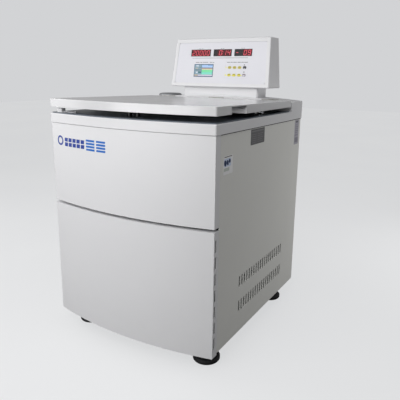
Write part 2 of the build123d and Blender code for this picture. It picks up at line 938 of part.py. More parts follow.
# (radius, z)
compressor_profile = [
    (0, 102), (62, 102), (70, 114), (70, 240), (67, 256),
    (59, 269), (44, 279), (24, 285), (0, 287),
]

condenser_x = 284.0
condenser_w = 30.0
condenser_len = 344.0

fan_y = 15.0
fan_z = 205.0
fan_shaft_r = 4.0
fan_motor_r = 28.0
fan_arm_x = 226.0
blade_pitch = radians(38)

box_x = -215.0
box_y = -128.0
box_w = 150.0
box_depth = 230.0
box_h = 250.0
box_wall = 2.0


def compressor():
    with BuildPart() as body:
        with BuildSketch(turning_plane(compressor_x, compressor_y)):
            with BuildLine():
                Polyline(*compressor_profile, close=True)
            make_face()
        revolve(axis=turning_axis(compressor_x, compressor_y))
        # foot plate
        with BuildSketch(Plane.XY.offset(base_top)):
            with Locations((compressor_x, compressor_y)):
                RectangleRounded(170, 116, 10)
        extrude(amount=6)
    return body.part


def condenser():
    with BuildPart() as coil:
        # fins, spaced front to back
        for i in range(26):
            with BuildSketch(Plane.XZ.offset(150 - i * 13.2)):
                with Locations((condenser_x, 207)):
                    Rectangle(condenser_w, 190)
            extrude(amount=-1.2)
        # tubes through the fins
        for i in range(6):
            with BuildSketch(Plane.XZ.offset(156)):
                with Locations((condenser_x, 132 + 30 * i)):
                    Circle(5)
            extrude(amount=-condenser_len)
        # base bar
        with BuildSketch(Plane.XY.offset(base_top)):
            with Locations((condenser_x, fan_y)):
                Rectangle(condenser_w, condenser_len)
        extrude(amount=14)
    return coil.part


def fan_shroud():
    with BuildPart() as shroud:
        with BuildSketch(Plane.XY.offset(base_top)):
            with Locations((245, fan_y)):
                Rectangle(40, 210)
        extrude(amount=206)
        with BuildSketch(Plane.YZ.offset(220)):
            with Locations((fan_y, fan_z)):
                Circle(88)
        extrude(amount=60, mode=Mode.SUBTRACT)
        # fan motor on four arms
        with BuildSketch(Plane.YZ.offset(fan_arm_x)):
            with Locations((fan_y, fan_z)):
                Circle(fan_motor_r)
                Rectangle(180, 10)
                Rectangle(10, 180)
                Circle(fan_shaft_r + 0.05, mode=Mode.SUBTRACT)
        extrude(amount=5)
        with BuildSketch(Plane.YZ.offset(fan_arm_x)):
            with Locations((fan_y, fan_z)):
                Circle(fan_motor_r)
                Circle(fan_shaft_r + 0.05, mode=Mode.SUBTRACT)
        extrude(amount=-30)
    return shroud.part


def condenser_fan():
    """Hub, shaft and five pitched blades, turning about X."""
    root_r = 20.0
    with BuildPart() as fan:
        with BuildSketch(Plane.YZ.offset(233)):
            with Locations((fan_y, fan_z)):
                Circle(24)
        extrude(amount=22)
        with BuildSketch(Plane.YZ.offset(204)):
            with Locations((fan_y, fan_z)):
                Circle(fan_shaft_r)
        extrude(amount=32)
        for i in range(5):
            angle = radians(72 * i)
            root = (244, fan_y + root_r * cos(angle), fan_z + root_r * sin(angle))
            across = (cos(blade_pitch), -sin(blade_pitch) * sin(angle),
                      sin(blade_pitch) * cos(angle))
            outward = (0, cos(angle), sin(angle))
            with BuildSketch(Plane(origin=root, x_dir=across, z_dir=outward)):
                Rectangle(2.4, 26)
            extrude(amount=62)
    return fan.part


def drive_electronics_box():
    with BuildPart() as box:
        with BuildSketch(Plane.XY.offset(base_top)):
            with Locations((box_x, box_y)):
                RectangleRounded(box_w, box_depth, 3)
        extrude(amount=box_h)
        with BuildSketch(Plane.XY.offset(base_top + box_wall)):
            with Locations((box_x, box_y)):
                RectangleRounded(box_w - 2 * box_wall, box_depth - 2 * box_wall, 2)
        extrude(amount=box_h - 2 * box_wall, mode=Mode.SUBTRACT)
        # upright slots in the right wall
        with BuildSketch(Plane.YZ.offset(-150)):
            with Locations((box_y, 250)):
                with GridLocations(10, 1, 16, 1):
                    SlotOverall(90, 4, rotation=90)
        extrude(amount=20, both=True, mode=Mode.SUBTRACT)
    return box.part


# ---------------------------------------------------------------------------
# Mains switch on the rear panel
# ---------------------------------------------------------------------------
switch_body_w = 23.0
switch_body_h = 45.0
switch_depth = 34.0
rocker_y = rear_y + 1.0   # rocker's pivot line
rocker_w = 17.0
rocker_open_w = 17.4
rocker_open_h = 21.6
# (y, z) from the pivot: what is cut off the disc to shape the outer face
rocker_cut = [(3.0, -14), (20, -14), (20, 14), (6.5, 14), (4.0, 0)]


def mains_switch():
    with BuildPart() as switch:
        # bezel
        with BuildSketch(Plane.XZ.offset(-rear_y)):
            with Locations((switch_x, switch_z)):
                RectangleRounded(32, 54, 3)
                Rectangle(rocker_open_w, rocker_open_h, mode=Mode.SUBTRACT)
        extrude(amount=-3)
        # body inside the cabinet, closed at its inner end
        with BuildSketch(Plane.XZ.offset(-rear_y)):
            with Locations((switch_x, switch_z)):
                Rectangle(switch_body_w, switch_body_h)
                Rectangle(rocker_open_w, rocker_open_h, mode=Mode.SUBTRACT)
        extrude(amount=switch_depth)
        with BuildSketch(Plane.XZ.offset(-(rear_y - switch_depth))):
            with Locations((switch_x, switch_z)):
                Rectangle(switch_body_w, switch_body_h)
        extrude(amount=3)
    return switch.part


def mains_rocker():
    with BuildPart() as rocker:
        with BuildSketch(Plane.YZ.offset(switch_x - rocker_w / 2)):
            with Locations((rocker_y, switch_z)):
                Circle(10.6)
            with BuildLine():
                Polyline(*[(rocker_y + y, switch_z + z) for y, z in rocker_cut], close=True)
            make_face(mode=Mode.SUBTRACT)
        extrude(amount=rocker_w)
    return rocker.part


# ---------------------------------------------------------------------------
# Control head: neck and shell
# ---------------------------------------------------------------------------
neck_half = 171.4
neck_front = 251.0
neck_rear = 337.8
neck_z0 = 815.0           # starts inside the deck, then is trimmed to its arch

head_z0 = 865.0
head_z1 = 1057.0
head_front0 = 232.5       # front, back and half width at the bottom (0) and top (1)
head_front1 = 263.4
head_back0 = 348.1
head_back1 = 341.4
head_half0 = 224.5
head_half1 = 213.4
head_mid0 = (head_front0 + head_back0) / 2
head_mid1 = (head_front1 + head_back1) / 2

# sloping front face; sketches on it run x to the right and v up the slope
lean = degrees(atan2(head_front1 - head_front0, head_z1 - head_z0))
face_plane = Plane(origin=(0, head_front0, head_z0), x_dir=(1, 0, 0),
                   z_dir=(0, -cos(radians(lean)), sin(radians(lean))))
face_h = hypot(head_front1 - head_front0, head_z1 - head_z0)


def face_outline(bottom_half, top_half, margin):
    """Tapered outline on the sloping face, a margin in from its bottom and top."""
    Polyline((-bottom_half, margin), (bottom_half, margin),
             (top_half, face_h - margin), (-top_half, face_h - margin), close=True)


def neck():
    with BuildPart() as column:
        with BuildSketch(Plane.XY.offset(neck_z0)):
            with Locations((0, (neck_front + neck_rear) / 2)):
                RectangleRounded(2 * neck_half, neck_rear - neck_front, 8)
        extrude(amount=head_z0 - neck_z0)
        with BuildSketch(Plane.XZ.offset(-deck_front)):
            with BuildLine():
                deck_arch(rim_half, deck_side_z, deck_crown_z, 780)
            make_face()
        extrude(amount=-(rim_rear - deck_front), mode=Mode.SUBTRACT)
        with BuildSketch(Plane.XY.offset(810)):
            with Locations((0, cable_y)):
                SlotOverall(84, 24)
        extrude(amount=70, mode=Mode.SUBTRACT)
    return column.part


def head_shell():
    with BuildPart() as shell:
        with BuildSketch(Plane.XY.offset(head_z0)):
            with Locations((0, head_mid0)):
                Rectangle(2 * head_half0, head_back0 - head_front0)
        with BuildSketch(Plane.XY.offset(head_z1)):
            with Locations((0, head_mid1)):
                Rectangle(2 * head_half1, head_back1 - head_front1)
        loft()
        fillet(shell.edges(), 4.0)
        # hollow, with the thickest wall at the front
        with BuildSketch(Plane.XY.offset(head_z0 + 3)):
            with Locations((0, head_mid0 + 2.5)):
                Rectangle(2 * head_half0 - 7, head_back0 - head_front0 - 12)
        with BuildSketch(Plane.XY.offset(head_z1 - 3)):
            with Locations((0, head_mid1 + 2.5)):
                Rectangle(2 * head_half1 - 7, head_back1 - head_front1 - 12)
        loft(mode=Mode.SUBTRACT)
        # recess for the control panel, and the opening behind it
        with BuildSketch(face_plane):
            with BuildLine():
                face_outline(208, 198.6, 16)
            make_face()
        extrude(amount=-(panel_depth + panel_t), mode=Mode.SUBTRACT)
        with BuildSketch(face_plane):
            with BuildLine():
                face_outline(199, 190, 25)
            make_face()
        extrude(amount=-16, mode=Mode.SUBTRACT)
        # cable way in the floor
        with BuildSketch(Plane.XY.offset(head_z0 - 1)):
            with Locations((0, cable_y)):
                SlotOverall(84, 24)
        extrude(amount=10, mode=Mode.SUBTRACT)
    return shell.part


# ---------------------------------------------------------------------------
# Control panel, displays and keys
# ---------------------------------------------------------------------------
def face_v(z):
    """Distance up the sloping face for a height z."""
    return (z - head_z0) / cos(radians(lean))


def at_face(depth):
    """Plane parallel to the sloping face, a depth below it."""
    return face_plane.offset(-depth)


panel_depth = 1.0         # how far the panel sits below the head's face
panel_t = 3.0
panel_back = panel_depth + panel_t

window_spans = [(-137.0, -45.2), (-30.4, 50.6), (63.8, 139.8)]    # (left x, right x)
windows = [((x0 + x1) / 2, x1 - x0) for x0, x1 in window_spans]   # (middle x, width)
window_v = (face_v(987.4) + face_v(1013.2)) / 2
window_h = face_v(1013.2) - face_v(987.4)

screen_x0 = -116.3
screen_x1 = -25.9
screen_center = ((screen_x0 + screen_x1) / 2, (face_v(905.7) + face_v(955.5)) / 2)
screen_w = screen_x1 - screen_x0
screen_h = face_v(955.5) - face_v(905.7)

key_x = [48.0, 70.1, 92.2, 114.3]
key_v = [face_v(942.9), face_v(913.7)]
key_w = 14.0
key_h = 10.4
key_names = [
    ["key_upper_1", "key_upper_2", "key_upper_3", "key_arrow_up"],
    ["key_lower_1", "key_lower_2", "key_lower_3", "key_arrow_down"],
]


def control_panel():
    with BuildPart() as panel:
        with BuildSketch(at_face(panel_back)):
            with BuildLine():
                face_outline(207.7, 198.3, 16.3)
            make_face()
            for x, width in windows:
                with Locations((x, window_v)):
                    RectangleRounded(width, window_h, 1.5, mode=Mode.SUBTRACT)
            with Locations(screen_center):
                Rectangle(screen_w - 6, screen_h - 6, mode=Mode.SUBTRACT)
            with Locations(*[(x, v) for x in key_x for v in key_v]):
                RectangleRounded(key_w + 0.5, key_h + 0.5, 4.4, mode=Mode.SUBTRACT)
        extrude(amount=panel_t)
        # round the four outer corners
        fillet(panel.edges().filter_by(
            lambda e: abs(abs(e.center().X) - 203) < 8 and e.length < 4), 7.0)
    return panel.part


def display_lenses():
    with BuildPart() as lenses:
        with BuildSketch(at_face(panel_depth + 2.6)):
            for x, width in windows:
                with Locations((x, window_v)):
                    RectangleRounded(width - 0.3, window_h - 0.3, 1.4)
        extrude(amount=2.0)
    return lenses.part


def display_modules():
    module_depth = panel_back + 0.1
    with BuildPart() as modules:
        with BuildSketch(at_face(module_depth)):
            for x, width in windows:
                with Locations((x, window_v)):
                    Rectangle(width + 2, window_h + 4)
        extrude(amount=-9)
        # colour screen module, its face standing in the panel window
        with BuildSketch(at_face(module_depth)):
            with Locations(screen_center):
                Rectangle(screen_w + 8, screen_h + 8)
        extrude(amount=-7)
        with BuildSketch(at_face(module_depth)):
            with Locations(screen_center):
                Rectangle(screen_w - 6.4, screen_h - 6.4)
        extrude(amount=2.2)
    return modules.part


def panel_key(x, v):
    """Key cap standing through the panel, with a wider flange behind it."""
    with BuildPart() as key:
        with BuildSketch(at_face(panel_back + 0.2)):
            with Locations((x, v)):
                RectangleRounded(key_w, key_h, 4.2)
        extrude(amount=panel_t + 0.2 + 1.2)
        fillet(key.faces().sort_by(Axis.Y)[0].edges(), 0.8)
        with BuildSketch(at_face(panel_back + 0.2)):
            with Locations((x, v)):
                RectangleRounded(key_w + 2.4, key_h + 2.4, 5.0)
        extrude(amount=-1.4)
    return key.part


# ---------------------------------------------------------------------------
# Build and write every piece
# ---------------------------------------------------------------------------
# pieces made once; each file takes its function's name
single_pieces = [
    base_frame, frame_posts, rear_panel, panel_screws,
    top_cover, inner_top_plate, chamber_seal, lid_shell, lid_liner,
    hinge_leaves_lid, hinge_leaves_cabinet, hinge_pins, strut_lid_studs,
    lid_lock_housing, lid_lock_hook, lid_striker, release_pull,
    chamber_bowl, evaporator_coil, chamber_insulation, guard_ring,
    motor_housing, spindle_bearings, spindle, motor_mounts, rotor, rotor_lid, rotor_knob,
    compressor, condenser, fan_shroud, condenser_fan, drive_electronics_box,
    mains_switch, mains_rocker,
    neck, head_shell, control_panel, display_lenses, display_modules,
]
for build in single_pieces:
    save(build(), build.__name__)

for side_name, side in (("left", -1), ("right", 1)):
    save(side_panel(side), f"{side_name}_side_panel")
    save(strut_cylinder(side * strut_x), f"strut_cylinder_{side_name}")
    save(strut_rod(side * strut_x), f"strut_rod_{side_name}")
    for end_name, y in (("front", foot_front_y), ("rear", foot_rear_y)):
        save(levelling_foot(side * foot_x, y), f"foot_{end_name}_{side_name}")

for name, (z0, z1) in front_levels.items():
    save(front_panel(z0, z1, slotted=name == "lower_front_panel"), name)

for names, v in zip(key_names, key_v):
    for name, x in zip(names, key_x):
        save(panel_key(x, v), name)
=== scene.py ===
"""Looks and studio for a floor-standing refrigerated centrifuge.

The cabinet stands on the floor at z = 0 with its bowed front towards -Y and its right side
towards +X. The neck and the control head rise at the rear of the top. Metres throughout.
"""

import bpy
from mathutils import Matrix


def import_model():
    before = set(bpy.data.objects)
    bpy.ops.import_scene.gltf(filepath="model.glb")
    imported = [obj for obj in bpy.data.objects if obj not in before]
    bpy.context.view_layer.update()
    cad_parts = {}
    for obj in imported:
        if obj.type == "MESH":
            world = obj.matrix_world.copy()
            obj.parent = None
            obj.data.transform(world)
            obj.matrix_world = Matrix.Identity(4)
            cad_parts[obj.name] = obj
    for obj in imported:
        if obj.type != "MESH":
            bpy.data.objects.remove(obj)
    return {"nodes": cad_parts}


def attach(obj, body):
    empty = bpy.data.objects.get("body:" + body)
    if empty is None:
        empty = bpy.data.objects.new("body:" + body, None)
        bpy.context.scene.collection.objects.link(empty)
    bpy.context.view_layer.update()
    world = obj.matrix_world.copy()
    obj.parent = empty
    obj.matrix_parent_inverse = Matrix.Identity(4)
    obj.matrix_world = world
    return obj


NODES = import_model()["nodes"]

import math
import bpy
import bmesh
from mathutils import Matrix, Vector

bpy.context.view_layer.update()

DATUM_Y = 0.0163                 # the part's origin against the cabinet's own datum
HALF_WIDTH = 0.320               # outer face of the side panels

# ---------------------------------------------------------------------------
# shader helpers
# ---------------------------------------------------------------------------


def srgb(red, green, blue):
    """8-bit display colour to linear RGBA."""
    def linear(c):
        c = c / 255.0
        return c / 12.92 if c <= 0.04045 else ((c + 0.055) / 1.055) ** 2.4
    return (linear(red), linear(green), linear(blue), 1.0)


def scaled(color, factor):
    return tuple(min(c * factor, 1) for c in color[:3]) + (1.0,)


def new_mat(name):
    mat = bpy.data.materials.new(name)
    mat.use_nodes = True
    return mat, mat.node_tree, mat.node_tree.nodes.get("Principled BSDF")


def coords(nt, scale=(1, 1, 1)):
    tex = nt.nodes.new("ShaderNodeTexCoord")
    mapping = nt.nodes.new("ShaderNodeMapping")
    mapping.inputs["Scale"].default_value = scale
    nt.links.new(tex.outputs["Object"], mapping.inputs["Vector"])
    return mapping.outputs["Vector"]


def separate(nt, vec):
    node = nt.nodes.new("ShaderNodeSeparateXYZ")
    nt.links.new(vec, node.inputs[0])
    return node.outputs


def noise(nt, vec, scale, detail=3.0, rough=0.5):
    node = nt.nodes.new("ShaderNodeTexNoise")
    node.inputs["Scale"].default_value = scale
    node.inputs["Detail"].default_value = detail
    node.inputs["Roughness"].default_value = rough
    nt.links.new(vec, node.inputs["Vector"])
    return node.outputs["Fac"]


def remap(nt, value, span, to):
    """Carry the range span onto the range to."""
    node = nt.nodes.new("ShaderNodeMapRange")
    node.inputs["From Min"].default_value, node.inputs["From Max"].default_value = span
    node.inputs["To Min"].default_value, node.inputs["To Max"].default_value = to
    nt.links.new(value, node.inputs["Value"])
    return node.outputs["Result"]


def math_node(nt, operation, first, second):
    node = nt.nodes.new("ShaderNodeMath")
    node.operation = operation
    nt.links.new(first, node.inputs[0])
    nt.links.new(second, node.inputs[1])
    return node.outputs[0]


def mix(nt, fac, first, second):
    """Mix two colours, each a tuple or a socket."""
    node = nt.nodes.new("ShaderNodeMix")
    node.data_type = "RGBA"
    node.blend_type = "MIX"
    node.clamp_result = True
    for socket, value in ((node.inputs[0], fac), (node.inputs[6], first), (node.inputs[7], second)):
        if isinstance(value, tuple):
            socket.default_value = value
        else:
            nt.links.new(value, socket)
    return node.outputs[2]


def bump(nt, height, strength, distance, normal=None):
    node = nt.nodes.new("ShaderNodeBump")
    node.inputs["Strength"].default_value = strength
    node.inputs["Distance"].default_value = distance
    nt.links.new(height, node.inputs["Height"])
    if normal is not None:
        nt.links.new(normal, node.inputs["Normal"])
    return node.outputs["Normal"]


# ---------------------------------------------------------------------------
# material families
# ---------------------------------------------------------------------------


def coat_mat(name, color, rough, grain, relief, drift, depth=0.0002, spec=0.5, edge=0.10,
             coat=0.0, bottom_darkening=0.0, wave=0.0):
    """Painted or moulded surface.

    grain, relief, depth: scale, strength and distance of the fine bump; drift: tone variation;
    edge: lightening of convex edges, rubbed wear on dark pieces and a painted highlight on
    pale ones, with painted shade darkening creases; bottom_darkening: patchy darkening towards
    the bottom; wave: strength of a broad bump.
    """
    mat, nt, bsdf = new_mat(name)
    vec = coords(nt)
    broad = noise(nt, vec, scale=3.2, detail=4.0, rough=0.55)
    mid = noise(nt, vec, scale=26.0, detail=4.0, rough=0.6)
    fine = noise(nt, vec, scale=grain, detail=2.0, rough=0.5)
    out = mix(nt, remap(nt, broad, span=(0.3, 0.7), to=(0.0, 1.0)),
              scaled(color, 1 - drift), scaled(color, 1 + drift * 0.4))
    out = mix(nt, remap(nt, mid, span=(0.35, 0.75), to=(0.0, 0.35)),
              out, scaled(color, 1 - 1.2 * drift))
    if bottom_darkening:
        # patchy darkening towards the bottom
        low = remap(nt, separate(nt, vec)["Z"], span=(0.05, 0.26), to=(bottom_darkening, 0.0))
        patchy = remap(nt, mid, span=(0.3, 0.8), to=(0.4, 1.0))
        out = mix(nt, math_node(nt, "MULTIPLY", low, patchy), out, scaled(color, 0.62))
    if edge:
        pointiness = nt.nodes.new("ShaderNodeNewGeometry").outputs["Pointiness"]
        # lightens convex edges: rubbed wear on the dark pieces, a painted highlight on the pale
        # coats
        edge_highlight_and_wear = remap(nt, pointiness, span=(0.52, 0.62), to=(0.0, edge))
        out = mix(nt, edge_highlight_and_wear, out, scaled(color, 1.25))
        # painted shade: darkens concave creases and corners
        crease_shade = remap(nt, pointiness, span=(0.42, 0.48), to=(0.35, 0.0))
        out = mix(nt, crease_shade, out, scaled(color, 0.55))
    nt.links.new(out, bsdf.inputs["Base Color"])
    nt.links.new(remap(nt, mid, span=(0.25, 0.75), to=(rough * 0.88, rough * 1.14)),
                 bsdf.inputs["Roughness"])
    bsdf.inputs["Specular IOR Level"].default_value = spec
    if coat:
        bsdf.inputs["Coat Weight"].default_value = coat
        bsdf.inputs["Coat Roughness"].default_value = 0.12
    normal = bump(nt, fine, strength=relief, distance=depth)
    if wave:
        swell = noise(nt, vec, scale=9.0, detail=1.0, rough=0.4)
        normal = bump(nt, swell, strength=wave, distance=0.002, normal=normal)
    nt.links.new(normal, bsdf.inputs["Normal"])
    return mat


def metal_mat(name, color, rough, stretch, relief, drift=0.08, metallic=1.0, stain=None):
    """Drawn, brushed or ground metal: stretch scales the streak noise along each axis."""
    mat, nt, bsdf = new_mat(name)
    streak = noise(nt, coords(nt, stretch), scale=40.0, detail=5.0, rough=0.6)
    out = mix(nt, remap(nt, streak, span=(0.3, 0.7), to=(0, 1)),
              scaled(color, 1 - drift), scaled(color, 1 + drift))
    if stain:
        blot = noise(nt, coords(nt), scale=18.0, detail=4.0, rough=0.6)
        out = mix(nt, remap(nt, blot, span=(0.52, 0.72), to=(0.0, 0.7)), out, stain)
    nt.links.new(out, bsdf.inputs["Base Color"])
    bsdf.inputs["Metallic"].default_value = metallic
    nt.links.new(remap(nt, streak, span=(0.3, 0.7), to=(rough * 0.8, rough * 1.25)),
                 bsdf.inputs["Roughness"])
    nt.links.new(bump(nt, streak, strength=relief, distance=0.0002), bsdf.inputs["Normal"])
    return mat


def glow_mat(name, color, strength=1.0, rough=0.3, spec=0.15):
    """Glowing surface, near-black underneath, slightly uneven glow: own light for lit digits and
    the screen, a painted glow for unlit segments.
    """
    mat, nt, bsdf = new_mat(name)
    speckle = noise(nt, coords(nt), scale=700.0, detail=2.0, rough=0.5)
    glow = mix(nt, remap(nt, speckle, span=(0.35, 0.65), to=(0, 1)),
               scaled(color, 0.9), scaled(color, 1.05))
    nt.links.new(glow, bsdf.inputs["Emission Color"])
    bsdf.inputs["Emission Strength"].default_value = strength
    nt.links.new(mix(nt, speckle, (0.008, 0.008, 0.010, 1), (0.016, 0.016, 0.018, 1)),
                 bsdf.inputs["Base Color"])
    bsdf.inputs["Roughness"].default_value = rough
    bsdf.inputs["Specular IOR Level"].default_value = spec
    return mat


def ink_mat(name, color, rough=0.5):
    """Screen-printed ink, with a faint dot structure."""
    mat, nt, bsdf = new_mat(name)
    dots = noise(nt, coords(nt), scale=1500.0, detail=2.0, rough=0.6)
    nt.links.new(mix(nt, remap(nt, dots, span=(0.4, 0.7), to=(0.0, 1.0)),
                     color, scaled(color, 1.18)), bsdf.inputs["Base Color"])
    nt.links.new(remap(nt, dots, span=(0.3, 0.7), to=(rough * 0.85, rough * 1.1)),
                 bsdf.inputs["Roughness"])
    nt.links.new(bump(nt, dots, strength=0.05, distance=0.00005), bsdf.inputs["Normal"])
    return mat


def lens_mat():
    """Tinted filter over the displays: a faint painted grey glow where no digit is lit, deep red
    where they are.
    """
    lit_spans = ((-0.135, -0.047), (-0.013, 0.047), (0.101, 0.139))   # x
    soft = 0.004                                                      # half width of the fade
    mat, nt, bsdf = new_mat("tinted_filter_painted_glow")
    vec = coords(nt)
    x = separate(nt, vec)["X"]
    lit = None
    for start, end in lit_spans:
        rise = remap(nt, x, span=(start - soft, start + soft), to=(0, 1))
        fall = remap(nt, x, span=(end - soft, end + soft), to=(1, 0))
        band = math_node(nt, "MULTIPLY", rise, fall)
        lit = math_node(nt, "ADD", lit, band) if lit else band
    cloud = noise(nt, vec, scale=260.0, detail=3.0, rough=0.6)
    glow = math_node(nt, "MULTIPLY", lit, remap(nt, cloud, span=(0.3, 0.7), to=(0.7, 1.1)))
    nt.links.new(mix(nt, cloud, (0.010, 0.009, 0.010, 1), (0.020, 0.018, 0.018, 1)),
                 bsdf.inputs["Base Color"])
    # the grey emission where no digit is lit is a painted glow; the red is the lit digits' light
    nt.links.new(mix(nt, glow, srgb(30, 38, 38), srgb(90, 4, 18)), bsdf.inputs["Emission Color"])
    bsdf.inputs["Emission Strength"].default_value = 1.0
    bsdf.inputs["Roughness"].default_value = 0.22
    bsdf.inputs["Specular IOR Level"].default_value = 0.2
    return mat


# ---------------------------------------------------------------------------
# materials of the CAD pieces
# ---------------------------------------------------------------------------


def put(mat, *names):
    for name in names:
        mesh = NODES[name].data
        mesh.materials.clear()
        mesh.materials.append(mat)
        for polygon in mesh.polygons:
            polygon.material_index = 0


put(coat_mat("coat_front", srgb(225, 225, 227), rough=0.40, grain=1500, relief=0.10, drift=0.018,
             wave=0.02, bottom_darkening=0.10), "upper_front_panel", "lower_front_panel")
put(coat_mat("coat_side", srgb(226, 226, 222), rough=0.48, grain=1100, relief=0.22, drift=0.025,
             bottom_darkening=0.14), "left_side_panel", "right_side_panel", "rear_panel")
put(coat_mat("moulded_white", srgb(224, 224, 226), rough=0.34, grain=900, relief=0.07,
             drift=0.015, edge=0.2, wave=0.03), "top_cover", "neck")
put(coat_mat("lid_white", srgb(218, 218, 220), rough=0.24, grain=900, relief=0.03, drift=0.012,
             edge=0.15, coat=0.45, wave=0.03), "lid_shell")
put(coat_mat("head_white", srgb(225, 225, 227), rough=0.33, grain=1000, relief=0.06,
             drift=0.015, edge=0.2), "head_shell")
put(coat_mat("panel_membrane", srgb(223, 223, 229), rough=0.36, grain=2600, relief=0.10,
             drift=0.02, edge=0.0), "control_panel")
put(coat_mat("dark_enamel", srgb(92, 100, 110), rough=0.35, grain=1300, relief=0.15,
             drift=0.10), "inner_top_plate")
put(coat_mat("black_rubber", srgb(22, 22, 24), rough=0.72, grain=2200, relief=0.35, drift=0.2,
             spec=0.25, edge=0.06), "chamber_seal", "motor_mounts")
put(coat_mat("foot_rubber", srgb(44, 44, 46), rough=0.6, grain=1800, relief=0.3, drift=0.15,
             spec=0.3, edge=0.12),
    "foot_front_left", "foot_front_right", "foot_rear_left", "foot_rear_right")
put(metal_mat("brushed_inox", srgb(190, 192, 194), rough=0.28, stretch=(1, 1, 40), relief=0.08),
    "chamber_bowl")
put(metal_mat("ground_chrome", srgb(206, 208, 212), rough=0.2, stretch=(4, 4, 4), relief=0.03,
              drift=0.03), "strut_rod_left", "strut_rod_right")
put(metal_mat("zinc_plate", srgb(176, 176, 172), rough=0.38, stretch=(6, 6, 6), relief=0.15,
              drift=0.12, stain=srgb(140, 138, 128)),
    "panel_screws", "hinge_leaves_lid", "hinge_leaves_cabinet", "hinge_pins",
    "strut_lid_studs", "lid_lock_hook", "drive_electronics_box", "fan_shroud")
put(coat_mat("black_enamel", srgb(24, 25, 27), rough=0.35, grain=1200, relief=0.12, drift=0.2,
             edge=0.12), "compressor", "strut_cylinder_left", "strut_cylinder_right", "lid_striker")
put(coat_mat("frame_grey", srgb(70, 72, 74), rough=0.5, grain=1200, relief=0.2, drift=0.12,
             edge=0.15), "base_frame", "frame_posts", "lid_lock_housing")
put(metal_mat("drawn_copper", srgb(196, 120, 80), rough=0.32, stretch=(8, 8, 8), relief=0.15,
              drift=0.12, stain=srgb(120, 84, 60)), "evaporator_coil")
put(coat_mat("pu_foam", srgb(214, 200, 150), rough=0.9, grain=700, relief=0.6, depth=0.0008,
             drift=0.12, spec=0.1, edge=0.0), "chamber_insulation")
put(metal_mat("liner_steel", srgb(176, 178, 180), rough=0.38, stretch=(60, 1, 1), relief=0.05,
              drift=0.05), "lid_liner")
put(metal_mat("armour_steel", srgb(74, 74, 76), rough=0.5, stretch=(4, 4, 30), relief=0.3,
              drift=0.15, stain=srgb(62, 50, 42)), "guard_ring")
put(metal_mat("cast_alu", srgb(168, 170, 172), rough=0.45, stretch=(10, 10, 10), relief=0.35,
              drift=0.1), "motor_housing", "condenser")
put(metal_mat("hard_anodised", srgb(62, 64, 70), rough=0.33, stretch=(1, 1, 70), relief=0.15,
              drift=0.1), "rotor", "rotor_lid")
put(metal_mat("ground_steel", srgb(200, 201, 203), rough=0.15, stretch=(40, 40, 40),
              relief=0.08), "spindle", "spindle_bearings")
put(coat_mat("black_moulding", srgb(26, 26, 28), rough=0.42, grain=1500, relief=0.2, drift=0.15,
             edge=0.12), "condenser_fan", "mains_switch", "mains_rocker", "rotor_knob")
put(coat_mat("module_black", srgb(20, 20, 22), rough=0.35, grain=1500, relief=0.1, drift=0.1,
             edge=0.0), "display_modules")
put(coat_mat("key_yellow", srgb(200, 188, 92), rough=0.35, grain=1800, relief=0.05, drift=0.08,
             edge=0.2), "key_upper_1", "key_upper_2", "key_upper_3")
put(coat_mat("pull_plated", srgb(214, 215, 218), rough=0.3, grain=1200, relief=0.1, drift=0.06,
             edge=0.1, coat=0.3), "release_pull")
put(coat_mat("key_bright_yellow", srgb(222, 212, 74), rough=0.35, grain=1800, relief=0.05,
             drift=0.08, edge=0.2), "key_lower_1", "key_lower_2", "key_lower_3")
put(coat_mat("key_black", srgb(34, 38, 40), rough=0.33, grain=1800, relief=0.05, drift=0.1,
             edge=0.15), "key_arrow_up")
put(coat_mat("key_grey", srgb(150, 140, 146), rough=0.35, grain=1800, relief=0.05, drift=0.08,
             edge=0.15), "key_arrow_down")
put(lens_mat(), "display_lenses")

# bevel widths of sheet and moulded pieces that the CAD leaves sharp
BEVELS = {
    "upper_front_panel": 0.0012, "lower_front_panel": 0.0012,
    "left_side_panel": 0.0006, "right_side_panel": 0.0006,
    "neck": 0.002, "lid_striker": 0.0006, "inner_top_plate": 0.0008,
}
for name, width in BEVELS.items():
    bevel = NODES[name].modifiers.new("edge", "BEVEL")
    bevel.width = width
    bevel.segments = 2
    bevel.limit_method = "ANGLE"
    bevel.angle_limit = math.radians(40)

# ---------------------------------------------------------------------------
# mesh helpers
# ---------------------------------------------------------------------------


def mesh_obj(name, bm, mats, body="cabinet"):
    mesh = bpy.data.meshes.new(name)
    bm.normal_update()
    bm.to_mesh(mesh)
    bm.free()
    obj = bpy.data.objects.new(name, mesh)
    bpy.context.scene.collection.objects.link(obj)
    for mat in mats:
        mesh.materials.append(mat)
    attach(obj, body)


def face_outward(bm):
    bmesh.ops.recalc_face_normals(bm, faces=bm.faces[:])


def slab(bm, outline, place, thick, slot=0):
    """A thin closed plate; place(p, h) lifts outline point p off the surface by h."""
    top = [bm.verts.new(place(p, thick)) for p in outline]
    base = [bm.verts.new(place(p, 0.0)) for p in outline]
    bm.faces.new(top).material_index = slot
    bm.faces.new(list(reversed(base))).material_index = slot
    for i in range(len(outline)):
        j = (i + 1) % len(outline)
        bm.faces.new((top[j], top[i], base[i], base[j])).material_index = slot
    face_outward(bm)


def closed_band(bm, steps, point, slot=0):
    """A thin closed strip; point(step, side, layer) gives its corners, side and layer 0 or 1."""
    (in0, in1), (out0, out1) = [
        [[bm.verts.new(point(i, side, layer)) for i in range(steps + 1)] for side in (0, 1)]
        for layer in (0, 1)]
    quads = []
    for i in range(steps):
        j = i + 1
        quads += [(out0[i], out0[j], out1[j], out1[i]), (in0[i], in1[i], in1[j], in0[j]),
                  (out0[i], in0[i], in0[j], out0[j]), (out1[i], out1[j], in1[j], in1[i])]
    quads += [(out0[0], out1[0], in1[0], in0[0]), (out0[-1], in0[-1], in1[-1], out1[-1])]
    for quad in quads:
        bm.faces.new(quad).material_index = slot
    face_outward(bm)


